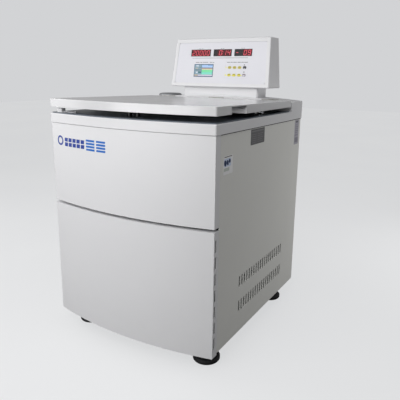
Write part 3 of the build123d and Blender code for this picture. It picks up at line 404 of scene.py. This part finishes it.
def rect(x0, y0, x1, y1, radius=0.0):
    """Outline of a rectangle, with corners rounded in four steps when a radius is given."""
    if radius <= 0:
        return [(x0, y0), (x1, y0), (x1, y1), (x0, y1)]
    left, right, low, high = x0 + radius, x1 - radius, y0 + radius, y1 - radius
    points = []
    for x, y, start in ((right, low, -90), (right, high, 0), (left, high, 90), (left, low, 180)):
        for i in range(5):
            a = math.radians(start + 90 * i / 4)
            points.append((x + radius * math.cos(a), y + radius * math.sin(a)))
    return points


def border(bm, x0, y0, x1, y1, width, place, thick, slot=0):
    """Four bars just inside the given rectangle."""
    for bar in ((x0, y0, x1, y0 + width), (x0, y1 - width, x1, y1),
                (x0, y0 + width, x0 + width, y1 - width),
                (x1 - width, y0 + width, x1, y1 - width)):
        slab(bm, rect(*bar), place, thick, slot)


# ---------------------------------------------------------------------------
# control head: its face leans back, and is measured by x and the length v up the slope
# ---------------------------------------------------------------------------
HEAD_Y0, HEAD_Y1 = 0.2325 + DATUM_Y, 0.2634 + DATUM_Y      # bottom and top of the face
HEAD_Z0, HEAD_Z1 = 0.865, 1.057
SLOPE = math.hypot(HEAD_Y1 - HEAD_Y0, HEAD_Z1 - HEAD_Z0)
LEAN_SIN = (HEAD_Y1 - HEAD_Y0) / SLOPE
LEAN_COS = (HEAD_Z1 - HEAD_Z0) / SLOPE
PANEL_DEPTH = 0.001              # depths behind the head's face
LENS_DEPTH = 0.0016
KEY_TOP_DEPTH = PANEL_DEPTH - 0.0012
PRINT = 0.0001                   # ink thicknesses
BAR_PRINT = 0.00012


def head_face(depth):
    """Placing function for a plane at this depth behind the head's face."""
    def place(p, h):
        x, v = p
        d = depth - h
        return Vector((x, HEAD_Y0 + v * LEAN_SIN + d * LEAN_COS,
                       HEAD_Z0 + v * LEAN_COS - d * LEAN_SIN))
    return place


def slope(z):
    return (z - HEAD_Z0) / LEAN_COS


on_panel = head_face(PANEL_DEPTH)

ink_dark = ink_mat("ink_dark", srgb(78, 84, 84))
ink_grey = ink_mat("ink_grey", srgb(128, 132, 134))
ink_soft = ink_mat("ink_soft", srgb(205, 205, 216))
ink_black = ink_mat("ink_black", srgb(30, 34, 36))
ink_olive = ink_mat("ink_olive", srgb(150, 142, 58))
ink_pale = ink_mat("ink_pale_yellow", srgb(222, 214, 150))
ink_yellow = ink_mat("ink_yellow", srgb(236, 230, 84))
ink_window = ink_mat("ink_window", srgb(52, 44, 48), rough=0.4)

# display windows: x0, x1, text, and the cell edge that carries a colon
DISPLAYS = (
    (-0.1360, -0.0462, "20000", None),
    (-0.0294, 0.0496, " 014", 2),
    (0.0648, 0.1388, "-_09", None),
)
WINDOW_Z0, WINDOW_Z1 = 0.9884, 1.0122

# key rows: name, z, outline of the yellow keys' bar, arrow key, outline of its notch;
# the outlines are about the key's centre
KEY_ROWS = (
    ("upper", 0.9429, rect(-0.0045, -0.0006, 0.0045, 0.0026, 0.0010),
     "up", [(-0.0022, -0.0052), (0.0022, -0.0052), (0, -0.0006)]),
    ("lower", 0.9137, rect(-0.0052, 0.0000, 0.0052, 0.0030, 0.0010),
     "down", rect(-0.0046, -0.0048, 0.0046, -0.0002, 0.0020)),
)
KEY_X0, KEY_PITCH = 0.048, 0.0221


def panel_lines():
    """Rule, caption bars, and the frames of the keypad and the display windows."""
    dark, grey, soft, window = range(4)
    # z0, z1, ink, (x0, x1) of each bar
    bars = (
        (0.9793, 0.9809, grey, ((-0.130, 0.124),)),
        (1.0160, 1.0176, grey, ((-0.103, -0.092), (-0.089, -0.081), (0.000, 0.008),
                                (0.010, 0.016), (0.092, 0.098), (0.100, 0.108))),
        (0.9621, 0.9639, dark, ((-0.112, -0.094), (-0.090, -0.081), (-0.078, -0.052),
                                (-0.046, -0.033), (-0.031, -0.024))),
        (0.9621, 0.9640, dark, ((0.034, 0.048), (0.050, 0.060), (0.062, 0.078),
                                (0.081, 0.096), (0.098, 0.109), (0.111, 0.126))),
    )
    window_gap, window_line = 0.001, 0.0008
    bm = bmesh.new()
    for z0, z1, ink, spans in bars:
        for x0, x1 in spans:
            slab(bm, rect(x0, slope(z0), x1, slope(z1)), on_panel, BAR_PRINT, ink)
    border(bm, 0.028, slope(0.902), 0.129, slope(0.956), 0.0006, on_panel, PRINT, soft)
    for x0, x1, _, _ in DISPLAYS:
        reach = window_gap + window_line
        border(bm, x0 - reach, slope(WINDOW_Z0 - window_gap) - window_line,
               x1 + reach, slope(WINDOW_Z1 + window_gap) + window_line,
               window_line, on_panel, PRINT, window)
    mesh_obj("panel_print_lines", bm, [ink_dark, ink_grey, ink_soft, ink_window])


def panel_marks():
    """Yellow marks and lines of the key rows, and the triangles above the arrow keys."""
    pale, black, yellow = range(3)
    row_inks = ((KEY_ROWS[0][1], pale, 0.0350), (KEY_ROWS[1][1], yellow, 0.0352))
    line_drop, line_half = 0.0013, 0.0009
    line_spans = ((0.0360, 0.0412), (0.0548, 0.0633), (0.0769, 0.0854), (0.0990, 0.1060))
    bm = bmesh.new()
    for z, ink, x1 in row_inks:
        v = slope(z)
        slab(bm, rect(0.0290, v - 0.0024, x1, v + 0.0024, 0.0018), on_panel, PRINT, ink)
    for z, ink, _ in row_inks:
        v = slope(z - line_drop)
        for x0, x1 in line_spans:
            slab(bm, rect(x0, v - line_half, x1, v + line_half), on_panel, PRINT, ink)
    for z, x, way in ((0.9532, 0.1128, 1), (0.9250, 0.1132, -1)):     # 1 points up, -1 down
        v = slope(z)
        triangle = [(x - 0.0031, v - 0.0021 * way), (x + 0.0031, v - 0.0021 * way),
                    (x, v + 0.0024 * way)]
        slab(bm, triangle[::way], on_panel, BAR_PRINT, black)
    mesh_obj("panel_print_marks", bm, [ink_pale, ink_black, ink_yellow])


panel_lines()
panel_marks()

# ---------------------------------------------------------------------------
# seven-segment digits
# ---------------------------------------------------------------------------
LIT_SEGMENTS = {"0": "abcdef", "1": "bc", "2": "abged", "3": "abgcd", "4": "fgbc", "5": "afgcd",
                "6": "afgedc", "7": "abc", "8": "abcdefg", "9": "abfgcd", "-": "g"}
DIGIT_WIDTH, DIGIT_HEIGHT, STROKE = 0.0104, 0.0178, 0.0017
DIGIT_SLANT = 0.14               # x shift per unit of height
DIGIT_THICK = 0.00015
CELL_MARGIN = 0.002              # from the window's end to the first cell
COLON_RISE, COLON_HALF = 0.0042, 0.0011


def segment_outlines():
    """Outline of each segment, a to g, about the digit's centre."""
    gap = STROKE * 0.12
    q = STROKE / 2
    hx, hy = DIGIT_WIDTH / 2, DIGIT_HEIGHT / 2

    def level(y):
        return [(-hx + gap, y), (-hx + q + gap, y + q), (hx - q - gap, y + q),
                (hx - gap, y), (hx - q - gap, y - q), (-hx + q + gap, y - q)]

    def upright(x, y0, y1):
        return [(x, y0 + gap), (x + q, y0 + q + gap), (x + q, y1 - q - gap),
                (x, y1 - gap), (x - q, y1 - q - gap), (x - q, y0 + q + gap)]
    return {"a": level(hy), "b": upright(hx, 0, hy), "c": upright(hx, -hy, 0), "d": level(-hy),
            "e": upright(-hx, -hy, 0), "f": upright(-hx, 0, hy), "g": level(0)}


def display_digits():
    lit, unlit = range(2)
    # unlit segments glow faintly too: a painted glow, since they give no light
    mats = [glow_mat("led_lit", srgb(255, 96, 112), strength=1.1),
            glow_mat("led_unlit_painted_glow", srgb(52, 26, 34))]
    on_lens = head_face(LENS_DEPTH)
    mid_v = (slope(WINDOW_Z0) + slope(WINDOW_Z1)) / 2
    outlines = segment_outlines()
    bm = bmesh.new()
    for x0, x1, text, colon in DISPLAYS:
        pitch = (x1 - x0 - 2 * CELL_MARGIN) / len(text)
        for i, char in enumerate(text):
            cx = x0 + CELL_MARGIN + pitch * (i + 0.5)
            for segment, outline in outlines.items():
                points = [(cx + x + DIGIT_SLANT * y, mid_v + y) for x, y in outline]
                slot = lit if segment in LIT_SEGMENTS.get(char, "") else unlit
                slab(bm, points, on_lens, DIGIT_THICK, slot)
        if colon is not None:
            for dy in (-COLON_RISE, COLON_RISE):
                cx = x0 + CELL_MARGIN + pitch * colon + DIGIT_SLANT * dy
                cy = mid_v + dy
                slab(bm, rect(cx - COLON_HALF, cy - COLON_HALF, cx + COLON_HALF,
                              cy + COLON_HALF, 0.0008), on_lens, DIGIT_THICK, lit)
    mesh_obj("display_digits", bm, mats)


display_digits()

# ---------------------------------------------------------------------------
# colour screen: a flat film over the window, with a fine frame printed round it
# ---------------------------------------------------------------------------
BEZEL = (-0.1169, slope(0.9051), -0.0261, slope(0.9558))   # x0, v0, x1, v1
BEZEL_WIDTH = 0.0015
FILM = 0.0003
LOW, HIGH = 0.00003, 0.00009     # lifts of picture blocks off the film
SCREEN_COLORS = {
    "frame": (84, 122, 150), "column": (134, 162, 176), "column_mid": (116, 140, 150),
    "column_dark": (58, 112, 118), "icon": (214, 220, 232), "header": (170, 200, 240),
    "header_deep": (128, 164, 216), "rust": (200, 150, 120), "cream": (222, 214, 172),
    "green": (118, 224, 160), "mint": (124, 222, 196), "foot": (220, 215, 230),
    "foot_warm": (206, 190, 164), "under": (112, 108, 140),
}
# blocks: x0, y0, x1, y1 as fractions of the screen from its lower left corner, colour, lift
PICTURE = [
    (0.02, 0.02, 0.98, 0.05, "under", LOW),
    (0.02, 0.18, 0.38, 0.96, "column", LOW),
    (0.04, 0.48, 0.38, 0.62, "column_mid", HIGH),
    (0.09, 0.84, 0.23, 0.94, "icon", HIGH),
    (0.26, 0.70, 0.37, 0.80, "column_mid", HIGH),
    (0.22, 0.28, 0.38, 0.42, "column_dark", HIGH),
    (0.10, 0.28, 0.19, 0.40, "icon", HIGH),
    (0.06, 0.66, 0.20, 0.72, "foot_warm", HIGH),
    (0.40, 0.75, 0.98, 0.96, "header", LOW),
    (0.72, 0.89, 0.98, 0.96, "header_deep", HIGH),
] + [(0.40 + 0.073 * i, 0.655, 0.452 + 0.073 * i, 0.715, "rust", LOW) for i in range(8)] + [
    (0.40, 0.56, 0.98, 0.635, "cream", LOW),
    (0.40, 0.37, 0.98, 0.55, "green", LOW),
    (0.40, 0.17, 0.98, 0.36, "mint", LOW),
    (0.02, 0.06, 0.20, 0.16, "foot_warm", LOW),
    (0.21, 0.06, 0.98, 0.15, "foot", LOW),
]


def screen():
    x0, v0 = BEZEL[0] + BEZEL_WIDTH, BEZEL[1] + BEZEL_WIDTH
    x1, v1 = BEZEL[2] - BEZEL_WIDTH, BEZEL[3] - BEZEL_WIDTH
    mats = [glow_mat("screen_" + key, srgb(*color), rough=0.15, spec=0.25)
            for key, color in SCREEN_COLORS.items()]
    slots = list(SCREEN_COLORS)
    bm = bmesh.new()
    slab(bm, rect(x0, v0, x1, v1), on_panel, FILM, slots.index("frame"))
    for left, low, right, high, key, lift in PICTURE:
        block = rect(x0 + (x1 - x0) * left, v0 + (v1 - v0) * low,
                     x0 + (x1 - x0) * right, v0 + (v1 - v0) * high)
        slab(bm, block, head_face(PANEL_DEPTH - FILM - lift), 0.00006, slots.index(key))
    mesh_obj("screen_picture", bm, mats)

    bm = bmesh.new()
    border(bm, *BEZEL, BEZEL_WIDTH, on_panel, 0.00035)
    mesh_obj("screen_bezel_print", bm, [ink_mat("ink_bezel", srgb(62, 82, 104), rough=0.3)])


def key_print(key, x, v, outline, ink):
    """Print on a key cap; it rides on its key."""
    bm = bmesh.new()
    slab(bm, [(x + dx, v + dv) for dx, dv in outline], head_face(KEY_TOP_DEPTH), PRINT)
    mesh_obj(key + "_print", bm, [ink], key + "_cap")


screen()
for row, z, bar, arrow, notch in KEY_ROWS:
    for i in range(3):
        key_print(f"key_{row}_{i + 1}", KEY_X0 + KEY_PITCH * i, slope(z), bar, ink_olive)
    # a pale notch in the lower half leaves an arch of the key's own colour
    key_print("key_arrow_" + arrow, KEY_X0 + KEY_PITCH * 3, slope(z), notch, ink_soft)

# ---------------------------------------------------------------------------
# blue mark on the bowed upper front panel: a ring, five cut blocks, two striped blocks
# ---------------------------------------------------------------------------
BOW_DEPTH = 0.0383
BOW_END_Y = -0.3435 + DATUM_Y    # where the bow meets the side panels
BOW_RADIUS = (HALF_WIDTH ** 2 + BOW_DEPTH ** 2) / (2 * BOW_DEPTH)
MARK_THICK = 0.0003
MARK_SLANT = 0.12                # x shift per unit of height
RING_X, RING_Z = -0.272, 0.693
RING_INNER, RING_OUTER = 0.0105, 0.0165
RING_STEPS = 40


def on_front(p, h):
    x, z = p
    bow_y = BOW_END_Y - BOW_DEPTH + BOW_RADIUS - math.sqrt(BOW_RADIUS ** 2 - x * x)
    return Vector((x, bow_y - h, z))


def bow_strip(bm, x0, width, z0, height, steps, slot=0):
    """A thin slanted band that follows the bow in short spans."""
    def point(i, side, layer):
        rise = height * side
        return on_front((x0 + width * i / steps + MARK_SLANT * rise, z0 + rise),
                        MARK_THICK * layer)
    closed_band(bm, steps, point, slot)


def front_mark():
    mats = [ink_mat("ink_blue", srgb(34, 62, 148), rough=0.35),
            ink_mat("ink_blue_light", srgb(28, 104, 190), rough=0.35)]
    bm = bmesh.new()
    for i in range(RING_STEPS):
        a0, a1 = (2 * math.pi * k / RING_STEPS for k in (i, i + 1))
        corners = ((RING_OUTER, a0), (RING_OUTER, a1), (RING_INNER, a1), (RING_INNER, a0))
        slab(bm, [(RING_X + r * math.cos(a), RING_Z + r * math.sin(a)) for r, a in corners],
             on_front, MARK_THICK)
    bmesh.ops.remove_doubles(bm, verts=bm.verts[:], dist=0.00001)
    for i in range(5):
        for z0 in (0.6765, 0.6920):
            bow_strip(bm, -0.2470 + 0.0212 * i, 0.0165, z0, 0.0125, steps=3)
    for i in range(2):
        for j in range(4):
            bow_strip(bm, -0.1360 + 0.0470 * i, 0.0390, 0.6735 + 0.0096 * j, 0.0062,
                      steps=6, slot=1)
    mesh_obj("front_mark", bm, mats)


front_mark()

# ---------------------------------------------------------------------------
# labels on the right side panel
# ---------------------------------------------------------------------------
LABEL_THICK = 0.00035
LABEL_CORNER = 0.002
LABEL_PRINT = 0.00008
# dark leaning petals: centre y, z and radii y, z as fractions of the label, tilt in radians
PETALS = ((0.17, 0.62, 0.13, 0.17, 0.3), (0.42, 0.63, 0.10, 0.16, 0.5),
          (0.64, 0.70, 0.12, 0.11, -0.6))

label_grey = coat_mat("rating_plate_grey", srgb(112, 112, 114), rough=0.35, grain=2000,
                      relief=0.08, drift=0.10, edge=0.0)
label_row = ink_mat("plate_row", srgb(134, 134, 136), rough=0.4)
label_white = ink_mat("label_white", srgb(238, 238, 240), rough=0.4)
label_head = ink_mat("label_head", srgb(112, 112, 110), rough=0.4)
label_sky = ink_mat("label_sky", srgb(206, 216, 236), rough=0.4)
label_navy = ink_mat("label_navy", srgb(40, 56, 92), rough=0.4)
label_moss = ink_mat("label_moss", srgb(196, 202, 196), rough=0.4)
label_lilac = coat_mat("label_lilac", srgb(184, 182, 192), rough=0.4, grain=900, relief=0.05,
                       drift=0.10, edge=0.0)
label_lilac_dark = ink_mat("label_lilac_dark", srgb(142, 140, 150), rough=0.4)
label_dot = ink_mat("label_dot", srgb(96, 98, 102), rough=0.4)


def on_side(lift=0.0):
    return lambda p, h: Vector((HALF_WIDTH + (lift + h), p[0], p[1]))


def side_label(name, y0, z0, y1, z1, base, items, petals=()):
    """A label; items are (y0, z0, y1, z1, ink) blocks in fractions of it."""
    y0, y1 = y0 + DATUM_Y, y1 + DATUM_Y
    width, height = y1 - y0, z1 - z0
    mats = [base]
    bm = bmesh.new()
    slab(bm, rect(y0, z0, y1, z1, LABEL_CORNER), on_side(), LABEL_THICK)
    for left, low, right, high, ink in items:
        if ink not in mats:
            mats.append(ink)
        block = rect(y0 + width * left, z0 + height * low, y0 + width * right, z0 + height * high)
        slab(bm, block, on_side(0.00033), LABEL_PRINT, mats.index(ink))
    if petals:
        mats.append(label_navy)
    for cy, cz, ry, rz, tilt in petals:
        points = []
        for i in range(16):
            a = 2 * math.pi * i / 16
            dy, dz = ry * width * math.cos(a), rz * height * math.sin(a)
            points.append((y0 + width * cy + dy * math.cos(tilt) - dz * math.sin(tilt),
                           z0 + height * cz + dy * math.sin(tilt) + dz * math.cos(tilt)))
        slab(bm, points, on_side(0.00040), LABEL_PRINT, mats.index(label_navy))
    mesh_obj(name, bm, mats)


side_label("rating_plate", -0.1175, 0.6975, -0.0110, 0.7470, label_grey,
           [(0.06, 0.82, 0.94, 0.90, label_row)]
           + [(0.06, 0.12 + 0.13 * i, 0.40, 0.155 + 0.13 * i, label_row) for i in range(5)]
           + [(0.48, 0.12 + 0.13 * i, 0.90 - 0.1 * (i % 2), 0.155 + 0.13 * i, label_row)
              for i in range(5)])
side_label("service_label", -0.2960, 0.6320, -0.2390, 0.6865, label_white,
           [(0.07, 0.925, 0.90, 0.975, label_head), (0.04, 0.42, 0.78, 0.86, label_sky),
            (0.04, 0.18, 0.62, 0.36, label_moss)], PETALS)
side_label("rear_label", 0.2810, 0.6525, 0.3250, 0.7475, label_lilac,
           [(0.22, 0.89, 0.78, 0.955, label_dot)]
           + [(0.12, low, right, high, label_lilac_dark) for low, right, high in (
               (0.08, 0.90, 0.28), (0.78, 0.66, 0.81), (0.70, 0.88, 0.73), (0.62, 0.80, 0.65),
               (0.54, 0.88, 0.57), (0.46, 0.70, 0.49), (0.36, 0.88, 0.40))])

# ---------------------------------------------------------------------------
# dark pleated sheets inside both side panels, painted shade in their slots, and dark strips above
# them, painted shadow under the top cover's overhang
# ---------------------------------------------------------------------------
SIDES = (("right", 1), ("left", -1))


def louvre_shade_sheet(name, sign, mat):
    """Two level bands, pleated along y."""
    steps = 96
    bm = bmesh.new()
    for band_z in ((0.226, 0.2775), (0.1375, 0.190)):
        closed_band(bm, steps, lambda i, side, layer: (
            sign * (0.3132 + 0.0011 * (i % 2) + 0.0009 * layer),
            DATUM_Y - 0.180 + 0.388 * i / steps, band_z[side]))
    mesh_obj(name, bm, [mat])


def front_shade_sheet(name, sign, mat):
    """One narrow upright band by the front, pleated along z."""
    steps = 120
    band_y = (-0.3402 + DATUM_Y, -0.3246 + DATUM_Y)
    bm = bmesh.new()
    closed_band(bm, steps, lambda i, side, layer: (
        sign * (0.3150 + 0.0008 * (i % 2) + 0.0006 * layer),
        band_y[side], 0.085 + 0.365 * i / steps))
    mesh_obj(name, bm, [mat])


def rim_shadow_strip(name, sign, mat):
    """Dark strip in the joint between the top cover and a side panel: a painted shadow under the
    cover's overhang.
    """
    steps = 24
    # x, z round the section
    section = ((0.3165, 0.75055), (0.32008, 0.75055), (0.32012, 0.74935), (0.3206, 0.7492),
               (0.3208, 0.7500), (0.3208, 0.7510), (0.3205, 0.75165), (0.3165, 0.75165))
    bm = bmesh.new()
    rings = []
    for i in range(steps + 1):
        y = DATUM_Y - 0.3130 + 0.6550 * i / steps
        rings.append([bm.verts.new((sign * x, y, z)) for x, z in section])
    for near, far in zip(rings, rings[1:]):
        for j in range(len(section)):
            k = (j + 1) % len(section)
            bm.faces.new((near[j], near[k], far[k], far[j]))
    bm.faces.new(rings[0])
    bm.faces.new(list(reversed(rings[-1])))
    face_outward(bm)
    mesh_obj(name, bm, [mat])


# dark sheets just behind the side slots: painted shade inside the slots
shade_sheet_mat = coat_mat("slot_shade_sheet", srgb(46, 48, 48), rough=0.8, grain=1400, relief=0.5,
                 depth=0.0004, drift=0.25, spec=0.15, edge=0.15)
for side_name, sign in SIDES:
    louvre_shade_sheet("slot_shade_sheet_" + side_name, sign, shade_sheet_mat)
for side_name, sign in SIDES:
    front_shade_sheet("front_shade_sheet_" + side_name, sign, shade_sheet_mat)
# dark strips under the top cover's overhang: painted shadow
strip_mat = coat_mat("rim_shadow_strip", srgb(40, 41, 43), rough=0.7, grain=1800, relief=0.3,
                     drift=0.2, spec=0.2, edge=0.0)
for side_name, sign in SIDES:
    rim_shadow_strip("rim_shadow_strip_" + side_name, sign, strip_mat)


def deck_cap():
    """Low satin cap on the deck, left of the neck."""
    mat = metal_mat("satin_cap", srgb(150, 151, 154), rough=0.42, stretch=(30, 30, 1),
                    relief=0.06, drift=0.05, metallic=0.7)
    cx, cy = -0.2685, 0.3073
    base_z, crown_z = 0.8225, 0.8340
    steps = 72
    # radius, z from the base up to the crown
    profile = ((0.0492, base_z), (0.0500, 0.8235), (0.0500, 0.8262), (0.0494, 0.8280),
               (0.0478, 0.8300), (0.0450, 0.8318), (0.0415, 0.8328), (0.0404, 0.8324),
               (0.0392, 0.8324), (0.0380, 0.8332), (0.0250, 0.8338))
    bm = bmesh.new()
    columns = []
    for i in range(steps):
        a = 2 * math.pi * i / steps
        columns.append([bm.verts.new((cx + r * math.cos(a), cy + r * math.sin(a), z))
                        for r, z in profile])
    base = bm.verts.new((cx, cy, base_z))
    crown = bm.verts.new((cx, cy, crown_z))
    for i in range(steps):
        a, b = columns[i], columns[(i + 1) % steps]
        for j in range(len(profile) - 1):
            bm.faces.new((a[j], b[j], b[j + 1], a[j + 1])).smooth = True
        bm.faces.new((base, b[0], a[0]))
        bm.faces.new((crown, a[-1], b[-1])).smooth = True
    face_outward(bm)
    mesh_obj("deck_cap", bm, [mat])


deck_cap()

# ---------------------------------------------------------------------------
# floor, light and camera
# ---------------------------------------------------------------------------
scene = bpy.context.scene


def build_floor():
    """Pale to the camera, but dark and unlit to every other ray."""
    mesh = bpy.data.meshes.new("floor")
    bm = bmesh.new()
    bmesh.ops.create_grid(bm, x_segments=1, y_segments=1, size=12.0)
    bm.to_mesh(mesh)
    bm.free()
    floor = bpy.data.objects.new("floor", mesh)
    scene.collection.objects.link(floor)
    mat, nt, bsdf = new_mat("floor_pale")
    seen = nt.nodes.new("ShaderNodeLightPath").outputs["Is Camera Ray"]
    tone = mix(nt, noise(nt, coords(nt), scale=1.2, detail=3.0, rough=0.5),
               srgb(214, 215, 217), srgb(219, 220, 221))
    nt.links.new(mix(nt, seen, (0.12, 0.12, 0.12, 1), (0.20, 0.20, 0.20, 1)),
                 bsdf.inputs["Base Color"])
    nt.links.new(mix(nt, seen, (0, 0, 0, 1), tone), bsdf.inputs["Emission Color"])
    bsdf.inputs["Emission Strength"].default_value = 0.90
    bsdf.inputs["Roughness"].default_value = 0.85
    bsdf.inputs["Specular IOR Level"].default_value = 0.1
    mesh.materials.append(mat)


def build_world():
    """Dim fill light, brighter in reflections, pale behind the cabinet."""
    world = bpy.data.worlds.new("studio")
    scene.world = world
    world.use_nodes = True
    nt = world.node_tree
    background = nt.nodes["Background"]
    rays = nt.nodes.new("ShaderNodeLightPath").outputs
    unseen = mix(nt, rays["Is Glossy Ray"], (0.132, 0.132, 0.132, 1), (0.37, 0.37, 0.375, 1))
    nt.links.new(mix(nt, rays["Is Camera Ray"], unseen, srgb(210, 211, 213)),
                 background.inputs["Color"])
    background.inputs["Strength"].default_value = 1.0


def area(name, place, power, target=(0, 0, 0.6), size=(1.5, 1.5)):
    light = bpy.data.lights.new(name, "AREA")
    light.shape = "RECTANGLE"
    light.size, light.size_y = size
    light.energy = power
    obj = bpy.data.objects.new(name, light)
    scene.collection.objects.link(obj)
    obj.location = place
    obj.rotation_euler = (Vector(target) - Vector(place)).to_track_quat("-Z", "Y").to_euler()
    return obj


def build_camera():
    yaw, pitch, roll = (math.radians(a) for a in (30.3552, 13.3690, 0.77296))
    place = (0.93842787, -1.44022439, 0.91381781)
    forward = Vector((-math.sin(yaw) * math.cos(pitch), math.cos(yaw) * math.cos(pitch),
                      -math.sin(pitch)))
    level = Vector((math.cos(yaw), math.sin(yaw), 0))
    up = level.cross(forward)
    axis_x = level * math.cos(roll) + up * math.sin(roll)
    axis_y = -level * math.sin(roll) + up * math.cos(roll)
    data = bpy.data.cameras.new("camera")
    camera = bpy.data.objects.new("camera", data)
    scene.collection.objects.link(camera)
    rows = [tuple(row) for row in zip(axis_x, axis_y, -forward, place)]
    camera.matrix_world = Matrix(rows + [(0, 0, 0, 1)])
    data.sensor_fit = "HORIZONTAL"
    data.sensor_width = 36.0
    data.lens = 42.03828
    data.shift_x = -0.012175
    data.shift_y = -0.03588
    data.clip_start = 0.01
    data.clip_end = 100
    scene.camera = camera


build_floor()
build_world()
area("soft_left_low", (-2.206, -0.803, 1.099), power=9.0)
area("soft_left_high", (-1.777, -0.647, 2.078), power=10.2)
area("soft_front_low", (-0.803, -2.206, 1.099), power=24.4)
area("soft_front_high", (0.62, -1.785, 2.078), power=24.0)
side_lamp = area("soft_right", (1.45, 1.30, 0.50), power=9.6, target=(0.3, 0.2, 0.45),
                 size=(0.8, 0.6))
side_lamp.visible_glossy = False
build_camera()
scene.view_settings.view_transform = "Standard"
